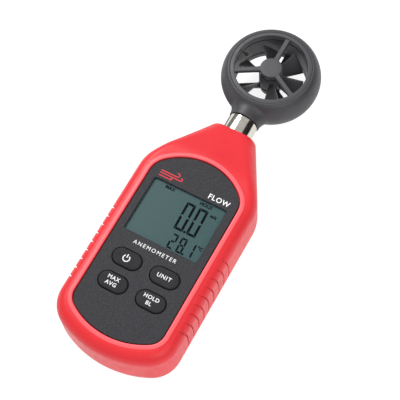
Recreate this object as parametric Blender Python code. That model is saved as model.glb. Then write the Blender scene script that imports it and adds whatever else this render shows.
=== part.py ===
"""Handheld vane anemometer: red case, dark front panel, four keys, plated neck tube, round head with a vane.

The meter lies on its flat back.  X runs across the case, Y from the case's lower end towards the head,
Z out of the front panel.  Inside the script, y = 0 is the lower end of the case and z = 0 the back face;
the empty case_frame moves everything so that the whole meter is centred on the origin.
"""
import math

import bmesh
import bpy
from mathutils import Matrix, Vector

MM = 0.001

# Fits
GAP = 0.3 * MM                   # clearance between two pieces that touch
KEY_GAP = 0.4 * MM               # clearance round a key
TINY = 0.01 * MM

# Case
CASE_LENGTH = 107.5 * MM
CASE_WIDTH = 51.0 * MM
CASE_DEPTH = 27.6 * MM           # back face to the front face beside the bead
BOTTOM_RADIUS = 42.0 * MM        # arc of the lower end
CORNER_RADIUS = 12.5 * MM        # lower corners, seen from the front
SHOULDER_Y = 78.8 * MM           # where the sides start to draw in
SHOULDER_RADIUS = 16.0 * MM
NECK_WIDTH = 18.9 * MM           # case width at the neck end
NECK_DEPTH = 17.0 * MM           # case depth at the neck end
NECK_CORNER = 2.0 * MM
NECK_ROLL = 1.4 * MM             # how far the neck end rolls back at its front and rear edge
NECK_Z = 14.0 * MM               # height of the tube's axis over the back face
TAPER_START = 84.0 * MM          # where the depth starts to shrink
TAPER_EASE = 3.0 * MM            # half length of the soft start of that slope
EDGE_IN = 4.2 * MM               # edge rounding: how far it reaches in
EDGE_DOWN = 5.0 * MM             # edge rounding: how far it reaches down
NECK_EDGE_IN = 7.6 * MM          # the same two at the neck end
NECK_EDGE_DOWN = 10.5 * MM
WALL = 2.0 * MM
FRONT_WALL = 1.4 * MM
PARTING_Z = 6.5 * MM             # joint between front and rear case
NECK_WALL = 3.0 * MM

# Bead, panel and window
BEAD_TOP = 28.0 * MM
BEAD_WIDTH = 1.4 * MM
PANEL_WIDTH = 38.7 * MM
PANEL_BOTTOM = 6.7 * MM
PANEL_TOP = 86.1 * MM
PANEL_Z = 27.3 * MM              # visible face of the panel
PANEL_THICK = 1.0 * MM
PANEL_BOTTOM_RADIUS = 31.0 * MM
PANEL_TOP_RADIUS = 24.3 * MM
PANEL_LOW_CORNER = 6.5 * MM
PANEL_HIGH_CORNER = 9.0 * MM
WINDOW_WIDTH = 31.8 * MM
WINDOW_HEIGHT = 24.3 * MM
WINDOW_Y = 59.4 * MM
WINDOW_CORNER = 0.9 * MM
WINDOW_THICK = 0.8 * MM
WINDOW_LEDGE = 1.4 * MM

# Keys
KEY_LENGTH = 12.0 * MM
KEY_WIDTH = 7.0 * MM
KEY_X = 8.23 * MM
KEY_ROWS = (36.5 * MM, 25.9 * MM)
KEY_TOP = 27.9 * MM
KEY_TRAVEL = 0.7 * MM
KEY_FLANGE = 1.1 * MM
KEY_FLANGE_THICK = 1.4 * MM
KEY_EDGE = 0.5 * MM              # soft upper edge of a key
KEY_END_STEPS = 5
MAT_THICK = 1.2 * MM
MAT_MARGIN = 3.2 * MM

# Grip grooves on both sides
GROOVE_COUNT = 9
GROOVE_PITCH = 4.0 * MM
GROOVE_FIRST_Y = 20.6 * MM
GROOVE_WIDTH = 0.8 * MM
GROOVE_DEPTH = 0.5 * MM
GROOVE_BOW = 2.0 * MM
GROOVE_RUN_IN = 4.0              # steepness with which a groove gets its depth at both ends
GROOVE_LOW = 3.6 * MM            # lowest and highest point over the back face
GROOVE_HIGH = 25.2 * MM

# Battery bay, cells and door
CELL_LENGTH = 44.5 * MM
CELL_RADIUS = 5.2 * MM
CELL_SPACING = 0.7 * MM          # between two cells
CELL_COUNT = 3
CELL_LIFT = 0.5 * MM             # over the door's inner face
CELL_SIDES = 20
CELL_NUB_RADIUS = 1.9 * MM
CELL_NUB_LENGTH = 1.0 * MM
SPRING_LENGTH = 4.2 * MM
SPRING_RADIUS = 3.3 * MM
SPRING_WIRE = 0.35 * MM
SPRING_TURNS = 3
SPRING_STEPS = 10                # per turn
SPRING_SIDES = 5
SPRING_CONE = 0.45               # share of the radius lost at the cell's end
CONTACT_THICK = 0.4 * MM
BAY_WALL = 0.8 * MM
BAY_CLEAR = 0.45 * MM
BAY_SETBACK = 0.45 * MM          # bay corner to the inside of the lower wall
BOARD_GAP = 0.7 * MM             # bay to board

# Display and electronics
BOARD_THICK = 1.6 * MM
BOARD_HALF_WIDTH = 18.2 * MM
BOARD_START = 10.0 * MM
BOARD_END = 84.5 * MM
GLASS_MARGIN = 1.6 * MM
GLASS_THICK = 2.1 * MM
CONNECTOR_WIDTH = 2.6 * MM
SWITCH_SIDE = 4.5 * MM
SWITCH_HEIGHT = 1.3 * MM
SWITCH_PLUNGER = 1.0 * MM
CHIP_SIDE = 7.0 * MM
CHIP_THICK = 1.2 * MM
CHIP_X = -8.0 * MM
CHIP_Y = 79.4 * MM
SOCKET_SIZE = (7.0 * MM, 4.0 * MM, 3.2 * MM)
BUZZER_RADIUS = 4.6 * MM
BUZZER_HEIGHT = 2.8 * MM
BUZZER_Y = 15.6 * MM

# Screws
LOWER_SCREW_Y = 14.0 * MM
UPPER_SCREW = (18.7 * MM, 81.3 * MM)
BOARD_SCREWS = ((14.6 * MM, 76.5 * MM),)
SCREW_RADIUS = 0.9 * MM
SCREW_HEAD_RADIUS = 1.6 * MM
SCREW_HEAD = 1.0 * MM
CASE_SCREW_LENGTH = 10.0 * MM
BOARD_SCREW_LENGTH = 5.0 * MM
BOSS_RADIUS = 2.1 * MM
BOSS_STEPS = 14
PIN_STEPS = 12                   # screws and their holes
SCREW_SINK = 0.5 * MM            # case screw head below the back face

# Neck tube
TUBE_RADIUS = 6.3 * MM
TUBE_SHOWN = 7.4 * MM            # bare length between case and head
TUBE_INSIDE = 9.0 * MM           # length inside the case
TUBE_SEAT = 1.5 * MM             # depth of the shoulder's seat in the neck end
TUBE_BORE = 2.6 * MM
SPIGOT_RADIUS = 4.4 * MM
SPIGOT_LENGTH = 6.0 * MM
NUT_RADIUS = 6.0 * MM
NUT_LENGTH = 2.6 * MM
RING_SEAL = 0.7 * MM             # thickness of the black ring between tube and head
CABLE_RADIUS = 1.2 * MM

# Head
HEAD_RADIUS = 20.95 * MM
HEAD_HALF = 7.9 * MM             # half depth of the barrel
FACE_LIP = 0.4 * MM              # flat rim between the guard and the rounded outside
BARREL_ROUND = 1.73              # exponent of the rounded outside
RING_WALL = 5.75 * MM            # head ring from the duct to the outside
BARREL_STEPS = 8
HEAD_STEPS = 48                  # round the barrel and the guards
COLLAR_LENGTH = 3.2 * MM         # the collar's reach beyond the ring
COLLAR_RADIUS = 6.7 * MM
COLLAR_ROOT_WIDTH = 18.4 * MM    # where the collar runs into the barrel
COLLAR_ROOT_DEPTH = 14.8 * MM
SEAL_LIP = 0.8 * MM              # collar wall round the seal
COLLAR_STRAIGHT = 1.6 * MM
COLLAR_FLARE = 4.2 * MM
COLLAR_FLARE_POWER = 1.6
COLLAR_STEPS = 5
GUARD_TOP = 8.1 * MM             # guard's inner rim over the head's mid plane
GUARD_RIM = 1.9 * MM             # radial width of a guard's seat
GUARD_DEPTH = 2.6 * MM
GUARD_LIP = 0.5 * MM             # fall of the guard's face towards its outer edge
SPOKE_COUNT = 3
SPOKE_WIDTH = 2.0 * MM
SPOKE_THICK = 1.7 * MM
SPOKE_SINK = 1.0 * MM            # how far a spoke runs into the rim
GUARD_HUB_RADIUS = 4.6 * MM
GUARD_HUB_THICK = 2.8 * MM

# Vane
BLADE_COUNT = 6
BLADE_CLEAR = 1.2 * MM           # blade tip to duct wall
BLADE_SINK = 1.0 * MM            # how far a blade runs into the hub
BLADE_STEPS = 3
BLADE_HALF_DEPTH = 3.0 * MM
BLADE_SWEEP = math.radians(30.0)
BLADE_LEAD_ANGLE = math.radians(131.6)
BLADE_THICK = 0.9 * MM
VANE_HUB_RADIUS = 5.0 * MM
VANE_HUB_HALF = 3.4 * MM
SHAFT_RADIUS = 0.75 * MM
SHAFT_HALF = 6.4 * MM
BEARING_RADIUS = 2.0 * MM
BEARING_HEIGHT = 1.4 * MM
MAGNET_RADIUS = 3.2 * MM
MAGNET_THICK = 0.8 * MM
HALL_SIZE = (2.6 * MM, 1.6 * MM, 1.0 * MM)
HALL_RADIUS = 7.4 * MM
BEAD_SENSOR_RADIUS = 0.8 * MM
BEAD_SENSOR_REACH = 2.0 * MM     # thermistor bead's distance from the duct wall
BEAD_SENSOR_ANGLE = math.radians(168.0)

# Worked-out sizes
HALF_WIDTH = CASE_WIDTH / 2
DUCT_RADIUS = HEAD_RADIUS - RING_WALL
GUARD_SEAT_RADIUS = DUCT_RADIUS + GUARD_RIM
BARREL_FACE_RADIUS = GUARD_SEAT_RADIUS + FACE_LIP
BLADE_TIP = DUCT_RADIUS - BLADE_CLEAR
COLLAR_REACH = HEAD_RADIUS + COLLAR_LENGTH
TOTAL_LENGTH = CASE_LENGTH + TUBE_SHOWN + COLLAR_REACH + HEAD_RADIUS
COLLAR_EDGE_Y = CASE_LENGTH + TUBE_SHOWN
SEAT_Z = PANEL_Z - PANEL_THICK - GAP
CEILING_Z = SEAT_Z - FRONT_WALL
TAPER_ANGLE = math.atan2(HALF_WIDTH - NECK_WIDTH / 2, CASE_LENGTH - SHOULDER_Y)
CELL_Z = WALL + CELL_LIFT + CELL_RADIUS
CELL_PITCH = 2 * CELL_RADIUS + CELL_SPACING
BAY_INNER_HALF = CELL_PITCH * (CELL_COUNT - 1) / 2 + CELL_RADIUS + BAY_CLEAR
BAY_OUTER_HALF = BAY_INNER_HALF + BAY_WALL
CORNER_X = HALF_WIDTH - CORNER_RADIUS
CORNER_SPAN = BOTTOM_RADIUS - CORNER_RADIUS
CORNER_Y = BOTTOM_RADIUS - math.sqrt(CORNER_SPAN ** 2 - CORNER_X ** 2)
if BAY_OUTER_HALF > (BOTTOM_RADIUS - WALL) * CORNER_X / CORNER_SPAN:    # the bay's edge lies in the corner's arc
    LOWER_WALL_Y = CORNER_Y - math.sqrt((CORNER_RADIUS - WALL) ** 2 - (BAY_OUTER_HALF - CORNER_X) ** 2)
else:
    LOWER_WALL_Y = BOTTOM_RADIUS - math.sqrt((BOTTOM_RADIUS - WALL) ** 2 - BAY_OUTER_HALF ** 2)
BAY_START = LOWER_WALL_Y + BAY_SETBACK
BAY_INNER_START = BAY_START + BAY_WALL
CELL_START = BAY_INNER_START + SPRING_LENGTH + 2 * GAP
CELL_END = CELL_START + CELL_LENGTH
BAY_INNER_END = CELL_END + CONTACT_THICK + 2 * GAP
BAY_END = BAY_INNER_END + BAY_WALL
BAY_CEILING = CELL_Z + CELL_RADIUS + GAP
BAY_TOP = BAY_CEILING + BAY_WALL
CASE_SCREWS = ((BAY_OUTER_HALF + BOSS_RADIUS + 2 * GAP, LOWER_SCREW_Y), UPPER_SCREW)
BOARD_Z = BAY_TOP + BOARD_GAP
BOARD_TOP = BOARD_Z + BOARD_THICK
SWITCH_TOP = BOARD_TOP + GAP + SWITCH_HEIGHT + SWITCH_PLUNGER
KEY_BOTTOM = SWITCH_TOP + KEY_TRAVEL + GAP
GUARD_LOW = GUARD_TOP - GUARD_LIP - GUARD_DEPTH
GLASS_Z = CEILING_Z - GAP - GLASS_THICK
MAT_Z = CEILING_Z - GAP - MAT_THICK

# Counts of straight pieces in the outlines, half of the loop; case and panel loops match point by point
BOTTOM_STEPS = 5
CORNER_STEPS = 6
SIDE_STEPS = 3
SHOULDER_STEPS = 4
TAPER_STEPS = 6
NECK_CORNER_STEPS = 3
NECK_END_STEPS = 3
EDGE_STEPS = 4
ROUND = 32
SMALL_ROUND = 24


# ---------------------------------------------------------------- scene and materials

def clear_scene():
    for obj in list(bpy.data.objects):
        bpy.data.objects.remove(obj, do_unlink=True)


def material(name, colour, roughness, metallic=0.0, alpha=1.0):
    """Principled material, made once per name."""
    found = bpy.data.materials.get(name)
    if found:
        return found
    made = bpy.data.materials.new(name)
    made.use_nodes = True
    shader = made.node_tree.nodes["Principled BSDF"]
    shader.inputs["Base Color"].default_value = (*colour, 1.0)
    shader.inputs["Roughness"].default_value = roughness
    shader.inputs["Metallic"].default_value = metallic
    shader.inputs["Alpha"].default_value = alpha
    return made


def red_plastic():
    return material("red_plastic", (0.80, 0.045, 0.055), 0.42)


def panel_plastic():
    return material("panel_plastic", (0.058, 0.058, 0.068), 0.5)


def key_rubber():
    return material("key_rubber", (0.038, 0.038, 0.043), 0.6)


def head_plastic():
    return material("head_plastic", (0.085, 0.085, 0.095), 0.5)


def plated_metal():
    return material("plated_metal", (0.72, 0.71, 0.68), 0.14, 1.0)


def steel():
    return material("steel", (0.55, 0.55, 0.56), 0.3, 1.0)


def black_rubber():
    return material("black_rubber", (0.015, 0.015, 0.016), 0.7)


def board_green():
    return material("board_green", (0.02, 0.16, 0.06), 0.45)


def chip_black():
    return material("chip_black", (0.02, 0.02, 0.022), 0.5)


def clear_window():
    return material("clear_window", (0.32, 0.45, 0.45), 0.1, 0.0, 0.35)


def lcd_grey():
    return material("lcd_grey", (0.10, 0.17, 0.17), 0.35)


def backlight_white():
    return material("backlight_white", (0.75, 0.76, 0.76), 0.4)


def cell_wrap():
    return material("cell_wrap", (0.08, 0.14, 0.35), 0.35)


# ---------------------------------------------------------------- mesh helpers

def new_object(name, bm, surface, parent, location=(0, 0, 0), smooth_angle=35.0):
    """Turn a bmesh into a named object with one material, outward faces and smooth round sides."""
    bmesh.ops.recalc_face_normals(bm, faces=bm.faces)
    mesh = bpy.data.meshes.new(name)
    bm.to_mesh(mesh)
    bm.free()
    mesh.shade_smooth()
    mesh.set_sharp_from_angle(angle=math.radians(smooth_angle))
    if surface:
        mesh.materials.append(surface)
    obj = bpy.data.objects.new(name, mesh)
    bpy.context.scene.collection.objects.link(obj)
    obj.parent = parent
    obj.location = location
    return obj


def add_loft(bm, rings, close=False, caps=True):
    """Bridge rings of equal length with quads; cap both ends, or join the last ring to the first."""
    rows = [[bm.verts.new(point) for point in ring] for ring in rings]
    pairs = list(zip(rows, rows[1:]))
    if close:
        pairs.append((rows[-1], rows[0]))
    for low, high in pairs:
        count = len(low)
        for i in range(count):
            j = (i + 1) % count
            bm.faces.new((low[i], low[j], high[j], high[i]))
    if caps and not close:
        bm.faces.new(list(reversed(rows[0])))
        bm.faces.new(rows[-1])


def loft(rings, close=False):
    bm = bmesh.new()
    add_loft(bm, rings, close)
    return bm


def prism(outline, low, high):
    """Plan outline of (x, y) points carried from z = low to z = high."""
    return loft([[(x, y, low) for x, y in outline], [(x, y, high) for x, y in outline]])


def circle(radius, steps=ROUND, centre=(0.0, 0.0), phase=0.0):
    turn = 2 * math.pi / steps
    return [(centre[0] + radius * math.cos(phase + turn * i),
             centre[1] + radius * math.sin(phase + turn * i)) for i in range(steps)]


def arc(centre, radius, start, end, steps):
    """Points of an arc, the last one left out."""
    return [(centre[0] + radius * math.cos(start + (end - start) * i / steps),
             centre[1] + radius * math.sin(start + (end - start) * i / steps)) for i in range(steps)]


def straight(start, end, steps):
    """Points of a straight run, the last one left out."""
    return [(start[0] + (end[0] - start[0]) * i / steps,
             start[1] + (end[1] - start[1]) * i / steps) for i in range(steps)]


def rounded_box(width, height, radius, centre=(0.0, 0.0), steps=4):
    """Rectangle with round corners, counter-clockwise."""
    half_w = width / 2 - radius
    half_h = height / 2 - radius
    corners = ((half_w, -half_h, -90), (half_w, half_h, 0), (-half_w, half_h, 90), (-half_w, -half_h, 180))
    points = []
    for x, y, angle in corners:
        start = math.radians(angle)
        middle = (centre[0] + x, centre[1] + y)
        points += arc(middle, radius, start, start + math.pi / 2, steps)
        points.append((middle[0] + radius * math.cos(start + math.pi / 2),
                       middle[1] + radius * math.sin(start + math.pi / 2)))
    return points


def box(low, high):
    """Upright box between two corners."""
    outline = ((low[0], low[1]), (high[0], low[1]), (high[0], high[1]), (low[0], high[1]))
    return prism(outline, low[2], high[2])


def turned(profile, steps=ROUND, phase=0.0):
    """Profile of (radius, height) turned about Z: closed round a bore, or closed on the axis at both ends."""
    rings = [[(x, y, height) for x, y in circle(radius, steps, phase=phase)] for radius, height in profile]
    return loft(rings, close=True)


def solid_round(profile, steps=ROUND, phase=0.0):
    """Solid of revolution about Z from (radius, height) pairs, low to high, with flat ends."""
    rings = [[(x, y, height) for x, y in circle(radius, steps, phase=phase)] for radius, height in profile]
    return loft(rings)


def aim_y(bm, y=0.0, z=0.0):
    """Turn a shape made about +Z so that it runs along +Y, through height z."""
    bmesh.ops.rotate(bm, verts=bm.verts, cent=(0, 0, 0), matrix=Matrix.Rotation(math.radians(-90), 3, "X"))
    bmesh.ops.translate(bm, verts=bm.verts, vec=(0, y, z))
    return bm


def helper(name, bm, parent, location=(0, 0, 0)):
    """Cutter or tool body that is not part of the meter."""
    obj = new_object(name, bm, None, parent, location)
    obj.hide_render = True
    obj.display_type = "WIRE"
    return obj


def combine(target, tool, operation):
    modifier = target.modifiers.new(tool.name, "BOOLEAN")
    modifier.operation = operation
    modifier.solver = "EXACT"
    modifier.object = tool


def cut(target, name, bm):
    combine(target, helper(name, bm, target.parent, target.location), "DIFFERENCE")


def fuse(target, name, bm):
    combine(target, helper(name, bm, target.parent, target.location), "UNION")


# ---------------------------------------------------------------- case surfaces

def mirrored_loop(half):
    """Close a right-hand half outline (bottom centre to top centre) with its mirror image."""
    left = [(-x, y) for x, y in reversed(half[1:-1])]
    return half + left


def case_outline():
    """Right half of the case outline with, for each point, the direction in which insets move it."""
    turn = math.atan2(CORNER_X, BOTTOM_RADIUS - CORNER_Y)
    down = -math.pi / 2
    points = arc((0, BOTTOM_RADIUS), BOTTOM_RADIUS, down, down + turn, BOTTOM_STEPS)
    inward = [(-x / BOTTOM_RADIUS, (BOTTOM_RADIUS - y) / BOTTOM_RADIUS) for x, y in points]
    corner = arc((CORNER_X, CORNER_Y), CORNER_RADIUS, down + turn, 0, CORNER_STEPS)
    inward += [((CORNER_X - x) / CORNER_RADIUS, (CORNER_Y - y) / CORNER_RADIUS) for x, y in corner]
    points += corner

    bend_y = SHOULDER_Y - SHOULDER_RADIUS * math.tan(TAPER_ANGLE / 2)
    sides = straight((HALF_WIDTH, CORNER_Y), (HALF_WIDTH, bend_y), SIDE_STEPS)
    sides += arc((HALF_WIDTH - SHOULDER_RADIUS, bend_y), SHOULDER_RADIUS, 0, TAPER_ANGLE, SHOULDER_STEPS)
    taper_start = (HALF_WIDTH - SHOULDER_RADIUS * (1 - math.cos(TAPER_ANGLE)),
                   bend_y + SHOULDER_RADIUS * math.sin(TAPER_ANGLE))
    back_off = NECK_CORNER * math.tan((math.pi / 2 - TAPER_ANGLE) / 2)
    taper_end = (NECK_WIDTH / 2 + back_off * math.sin(TAPER_ANGLE),
                 CASE_LENGTH - back_off * math.cos(TAPER_ANGLE))
    sides += straight(taper_start, taper_end, TAPER_STEPS)
    points += sides
    inward += [(-1.0, 0.0) for _ in sides]

    end = arc((NECK_WIDTH / 2 - back_off, CASE_LENGTH - NECK_CORNER), NECK_CORNER, TAPER_ANGLE, math.pi / 2,
              NECK_CORNER_STEPS)
    roll = NECK_ROLL / NECK_EDGE_IN
    for i, (x, y) in enumerate(end):
        inward.append((-x / taper_end[0], -roll * i / NECK_CORNER_STEPS))
    points += end
    last = straight((NECK_WIDTH / 2 - back_off, CASE_LENGTH), (0, CASE_LENGTH), NECK_END_STEPS)
    last.append((0, CASE_LENGTH))
    inward += [(-x / taper_end[0], -roll) for x, y in last]
    points += last
    return points, inward


def taper_share(y):
    """0 along the body, rising to 1 at the neck end, with a soft start."""
    along = y - TAPER_START
    full = CASE_LENGTH - TAPER_START - TAPER_EASE
    if along <= 0:
        return 0.0
    if along < 2 * TAPER_EASE:
        return along ** 2 / (4 * TAPER_EASE) / full
    return (along - TAPER_EASE) / full


def case_ring(inset_share, down_share, height, shrink=0.0, end_wall=0.0):
    """One ring of the case skin.

    height is the level of the flat it belongs to, seen from the tube's axis (positive to the front).
    inset_share and down_share are fractions of the edge rounding; shrink moves the ring in by a wall.
    """
    points, inward = case_outline()
    ring = []
    for (x, y), (dx, dy) in zip(points, inward):
        share = taper_share(y)
        edge_in = EDGE_IN + (NECK_EDGE_IN - EDGE_IN) * share
        edge_down = EDGE_DOWN + (NECK_EDGE_DOWN - EDGE_DOWN) * share
        inset = min(edge_in * inset_share + shrink, 0.95 * NECK_WIDTH / 2)
        level = abs(height) - min(edge_down, abs(height) - TINY) * down_share
        depth_share = 1 + (NECK_DEPTH / CASE_DEPTH - 1) * share
        z = NECK_Z + math.copysign(level * depth_share, height)
        end_shift = end_wall * max(0.0, (y - (CASE_LENGTH - NECK_CORNER)) / NECK_CORNER)
        roll = 0.0 if end_wall and dy < 0 else dy * inset
        ring.append((x + dx * inset, y + roll - end_shift, z))
    left = [(-x, y, z) for x, y, z in reversed(ring[1:-1])]
    return ring + left


def edge_rings(height, shrink=0.0, end_wall=0.0):
    """Rings of the rounded edge, from the side wall to the flat at the given level."""
    rings = []
    for i in range(EDGE_STEPS + 1):
        angle = math.pi / 2 * i / EDGE_STEPS
        rings.append(case_ring(1 - math.cos(angle), 1 - math.sin(angle), height, shrink, end_wall))
    return rings


def skin_rings(low, high, shrink=0.0, end_wall=0.0):
    """Rings from the rear flat at z = low, round the sides, to the front flat at z = high.

    Both flats have the outline of the bead, so that they stay level where the neck starts to slope.
    """
    rear = edge_rings(low - NECK_Z, shrink, end_wall)
    front = edge_rings(high - NECK_Z, shrink, end_wall)
    inside = BEAD_WIDTH - shrink
    return [panel_ring(inside, low)] + list(reversed(rear)) + front + [panel_ring(inside, high)]


def hollow():
    """Inside of the closed case."""
    return loft(skin_rings(WALL, CEILING_Z, WALL, NECK_WALL))


def beyond_parting(front):
    """Everything on the far side of the level joint between the shells."""
    wide = HALF_WIDTH + WALL
    end = CASE_LENGTH + WALL
    if front:
        return box((-wide, -WALL, -WALL), (wide, end, PARTING_Z + GAP / 2))
    return box((-wide, -WALL, PARTING_Z - GAP / 2), (wide, end, BEAD_TOP + WALL))


def panel_half(grow=0.0):
    """Right half of the panel outline, grown outwards by grow."""
    half = PANEL_WIDTH / 2 + grow
    low_r = PANEL_LOW_CORNER + grow
    high_r = PANEL_HIGH_CORNER + grow
    bottom_r = PANEL_BOTTOM_RADIUS + grow
    top_r = PANEL_TOP_RADIUS + grow
    bottom_centre = PANEL_BOTTOM + PANEL_BOTTOM_RADIUS
    top_centre = PANEL_TOP - PANEL_TOP_RADIUS
    low_x = half - low_r
    low_y = bottom_centre - math.sqrt((bottom_r - low_r) ** 2 - low_x ** 2)
    low_turn = math.atan2(low_x, bottom_centre - low_y)
    high_x = half - high_r
    high_y = top_centre + math.sqrt((top_r - high_r) ** 2 - high_x ** 2)
    high_turn = math.atan2(high_y - top_centre, high_x)
    down = -math.pi / 2
    points = arc((0, bottom_centre), bottom_r, down, down + low_turn, BOTTOM_STEPS)
    points += arc((low_x, low_y), low_r, down + low_turn, 0, CORNER_STEPS)
    points += straight((half, low_y), (half, high_y), SIDE_STEPS)
    points += arc((high_x, high_y), high_r, 0, high_turn, SHOULDER_STEPS)
    rest = TAPER_STEPS + NECK_CORNER_STEPS + NECK_END_STEPS
    points += arc((0, top_centre), top_r, high_turn, math.pi / 2, rest)
    points.append((0, top_centre + top_r))
    return points


def panel_ring(grow, z):
    return [(x, y, z) for x, y in mirrored_loop(panel_half(grow))]


# ---------------------------------------------------------------- case parts

def stadium(length, width, centre, grow=0.0):
    """Key outline: two half circles joined by straight sides."""
    return rounded_box(length + 2 * grow, width + 2 * grow, width / 2 + grow - TINY, centre, KEY_END_STEPS)


def key_places():
    """Name and centre of each key."""
    names = (("power_key", "unit_key"), ("max_avg_key", "hold_key"))
    for row, y in zip(names, KEY_ROWS):
        yield row[0], (-KEY_X, y)
        yield row[1], (KEY_X, y)


def screw_places(points):
    """Mirror each screw position to both sides."""
    for x, y in points:
        yield (-x, y)
        yield (x, y)


def edge_inset(z):
    """How far the rounded edge has moved in at height z, along the body."""
    from_face = min(z, CASE_DEPTH - z)
    if from_face >= EDGE_DOWN:
        return 0.0
    share = 1 - from_face / EDGE_DOWN
    return EDGE_IN * (1 - math.sqrt(1 - share ** 2))


def groove_cutter(front):
    """Bow-shaped bars that cut the grip grooves in both sides of one shell."""
    bm = bmesh.new()
    low = PARTING_Z - 2 * GAP if front else GROOVE_LOW
    high = GROOVE_HIGH if front else PARTING_Z + 2 * GAP
    steps = 5 if front else 2
    middle = (GROOVE_LOW + GROOVE_HIGH) / 2
    half = (GROOVE_HIGH - GROOVE_LOW) / 2
    for side in (-1, 1):
        for index in range(GROOVE_COUNT):
            rings = []
            for step in range(steps + 1):
                z = low + (high - low) * step / steps
                rise = 1 - ((z - middle) / half) ** 2
                y = GROOVE_FIRST_Y + GROOVE_PITCH * index + GROOVE_BOW * rise
                inner = HALF_WIDTH - edge_inset(z) - GROOVE_DEPTH * max(0.0, min(1.0, GROOVE_RUN_IN * rise))
                outer = HALF_WIDTH + WALL
                y_low = y - GROOVE_WIDTH / 2
                y_high = y + GROOVE_WIDTH / 2
                ring = [(side * inner, y_low, z), (side * outer, y_low, z),
                        (side * outer, y_high, z), (side * inner, y_high, z)]
                rings.append(ring)
            add_loft(bm, rings)
    return bm


def front_case(frame):
    bead = [panel_ring(BEAD_WIDTH * 0.8, BEAD_TOP - GAP / 3),
            panel_ring(BEAD_WIDTH * 0.5, BEAD_TOP),
            panel_ring(BEAD_WIDTH * 0.25, BEAD_TOP - GAP / 3),
            panel_ring(GAP / 2, CASE_DEPTH - GAP),
            panel_ring(GAP / 2, SEAT_Z)]
    shell = new_object("front_case", loft(skin_rings(0, CASE_DEPTH) + bead), red_plastic(), frame)
    cut(shell, "front_hollow", hollow())
    cut(shell, "front_parting", beyond_parting(True))
    into_wall = CEILING_Z + FRONT_WALL / 2
    for index, place in enumerate(screw_places(CASE_SCREWS)):
        fuse(shell, f"case_boss_{index}", post(place, PARTING_Z + GAP / 2, into_wall))
    for index, place in enumerate(screw_places(BOARD_SCREWS)):
        fuse(shell, f"board_post_{index}", post(place, BOARD_TOP + GAP, into_wall))
    window = rounded_box(WINDOW_WIDTH - 2 * WINDOW_LEDGE, WINDOW_HEIGHT - 2 * WINDOW_LEDGE, WINDOW_CORNER,
                         (0, WINDOW_Y))
    cut(shell, "window_hole", prism(window, CEILING_Z - WALL, PANEL_Z))
    cut(shell, "key_holes", key_cutter(CEILING_Z - WALL, PANEL_Z))
    radius = SCREW_RADIUS + GAP
    start = SCREW_SINK + SCREW_HEAD
    cut(shell, "case_screw_holes", round_holes(CASE_SCREWS, radius, start, start + CASE_SCREW_LENGTH))
    cut(shell, "board_screw_holes", round_holes(BOARD_SCREWS, radius, BOARD_Z, BOARD_Z + BOARD_SCREW_LENGTH))
    cut(shell, "front_grooves", groove_cutter(True))
    thread = SPIGOT_RADIUS + GAP
    seat = CASE_LENGTH - TUBE_SEAT
    hole = solid_round([(thread, CASE_LENGTH - 2 * NECK_WALL), (thread, seat), (TUBE_RADIUS + GAP, seat),
                        (TUBE_RADIUS + GAP, COLLAR_EDGE_Y)], ROUND, math.pi / ROUND)
    cut(shell, "tube_hole", aim_y(hole, z=NECK_Z))


def post(place, low, high):
    return prism(circle(BOSS_RADIUS, BOSS_STEPS, place), low, high)


def round_holes(places, radius, low, high):
    """One cutter with a round pin at every mirrored place."""
    bm = bmesh.new()
    for place in screw_places(places):
        rim = circle(radius, PIN_STEPS, place)
        add_loft(bm, [[(x, y, z) for x, y in rim] for z in (low, high)])
    return bm


def key_cutter(low, high):
    """The four key openings."""
    bm = bmesh.new()
    for _, centre in key_places():
        rim = stadium(KEY_LENGTH, KEY_WIDTH, centre, KEY_GAP)
        add_loft(bm, [[(x, y, z) for x, y in rim] for z in (low, high)])
    return bm


def rear_case(frame):
    shell = new_object("rear_case", loft(skin_rings(0, CASE_DEPTH)), red_plastic(), frame)
    cut(shell, "rear_hollow", hollow())
    cut(shell, "rear_parting", beyond_parting(False))
    bay = box((-BAY_OUTER_HALF, BAY_START, WALL / 2), (BAY_OUTER_HALF, BAY_END, BAY_TOP))
    fuse(shell, "bay_outside", bay)
    for index, place in enumerate(screw_places(CASE_SCREWS)):
        fuse(shell, f"screw_post_{index}", post(place, WALL / 2, PARTING_Z - GAP / 2))
    cut(shell, "bay_inside", bay_cutter())
    sunk = SCREW_SINK + SCREW_HEAD + GAP
    cut(shell, "screw_head_holes", round_holes(CASE_SCREWS, SCREW_HEAD_RADIUS + GAP, -WALL, sunk))
    shanks = round_holes(CASE_SCREWS, SCREW_RADIUS + GAP, SCREW_SINK, PARTING_Z + WALL)
    cut(shell, "screw_shank_holes", shanks)
    cut(shell, "rear_grooves", groove_cutter(False))


def bay_cutter():
    """Inside of the bay, open at the back, with the way out for the door at the lower end."""
    floor = WALL + GAP / 2
    side = [(-WALL, -WALL), (BAY_INNER_END, -WALL), (BAY_INNER_END, BAY_CEILING),
            (BAY_INNER_START, BAY_CEILING), (BAY_INNER_START, floor), (BAY_START - GAP, floor),
            (BAY_START - GAP, BAY_TOP), (-WALL, BAY_TOP)]
    return loft([[(x, y, z) for y, z in side] for x in (-BAY_INNER_HALF, BAY_INNER_HALF)])


def battery_door(frame):
    """Flat door with the middle of the case's lower edge, cut out of the same skin."""
    door = new_object("battery_door", loft(skin_rings(0, CASE_DEPTH)), red_plastic(), frame)
    cut(door, "door_hollow", hollow())
    half = BAY_INNER_HALF - GAP
    end = BAY_INNER_END - GAP
    keep = box((-half, -WALL, -WALL), (half, end, PARTING_Z - GAP / 2))
    combine(door, helper("door_limits", keep, frame), "INTERSECT")
    clear = box((-HALF_WIDTH, BAY_START - 2 * GAP, WALL - GAP), (HALF_WIDTH, end + WALL, PARTING_Z + WALL))
    cut(door, "door_clear", clear)


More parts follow.
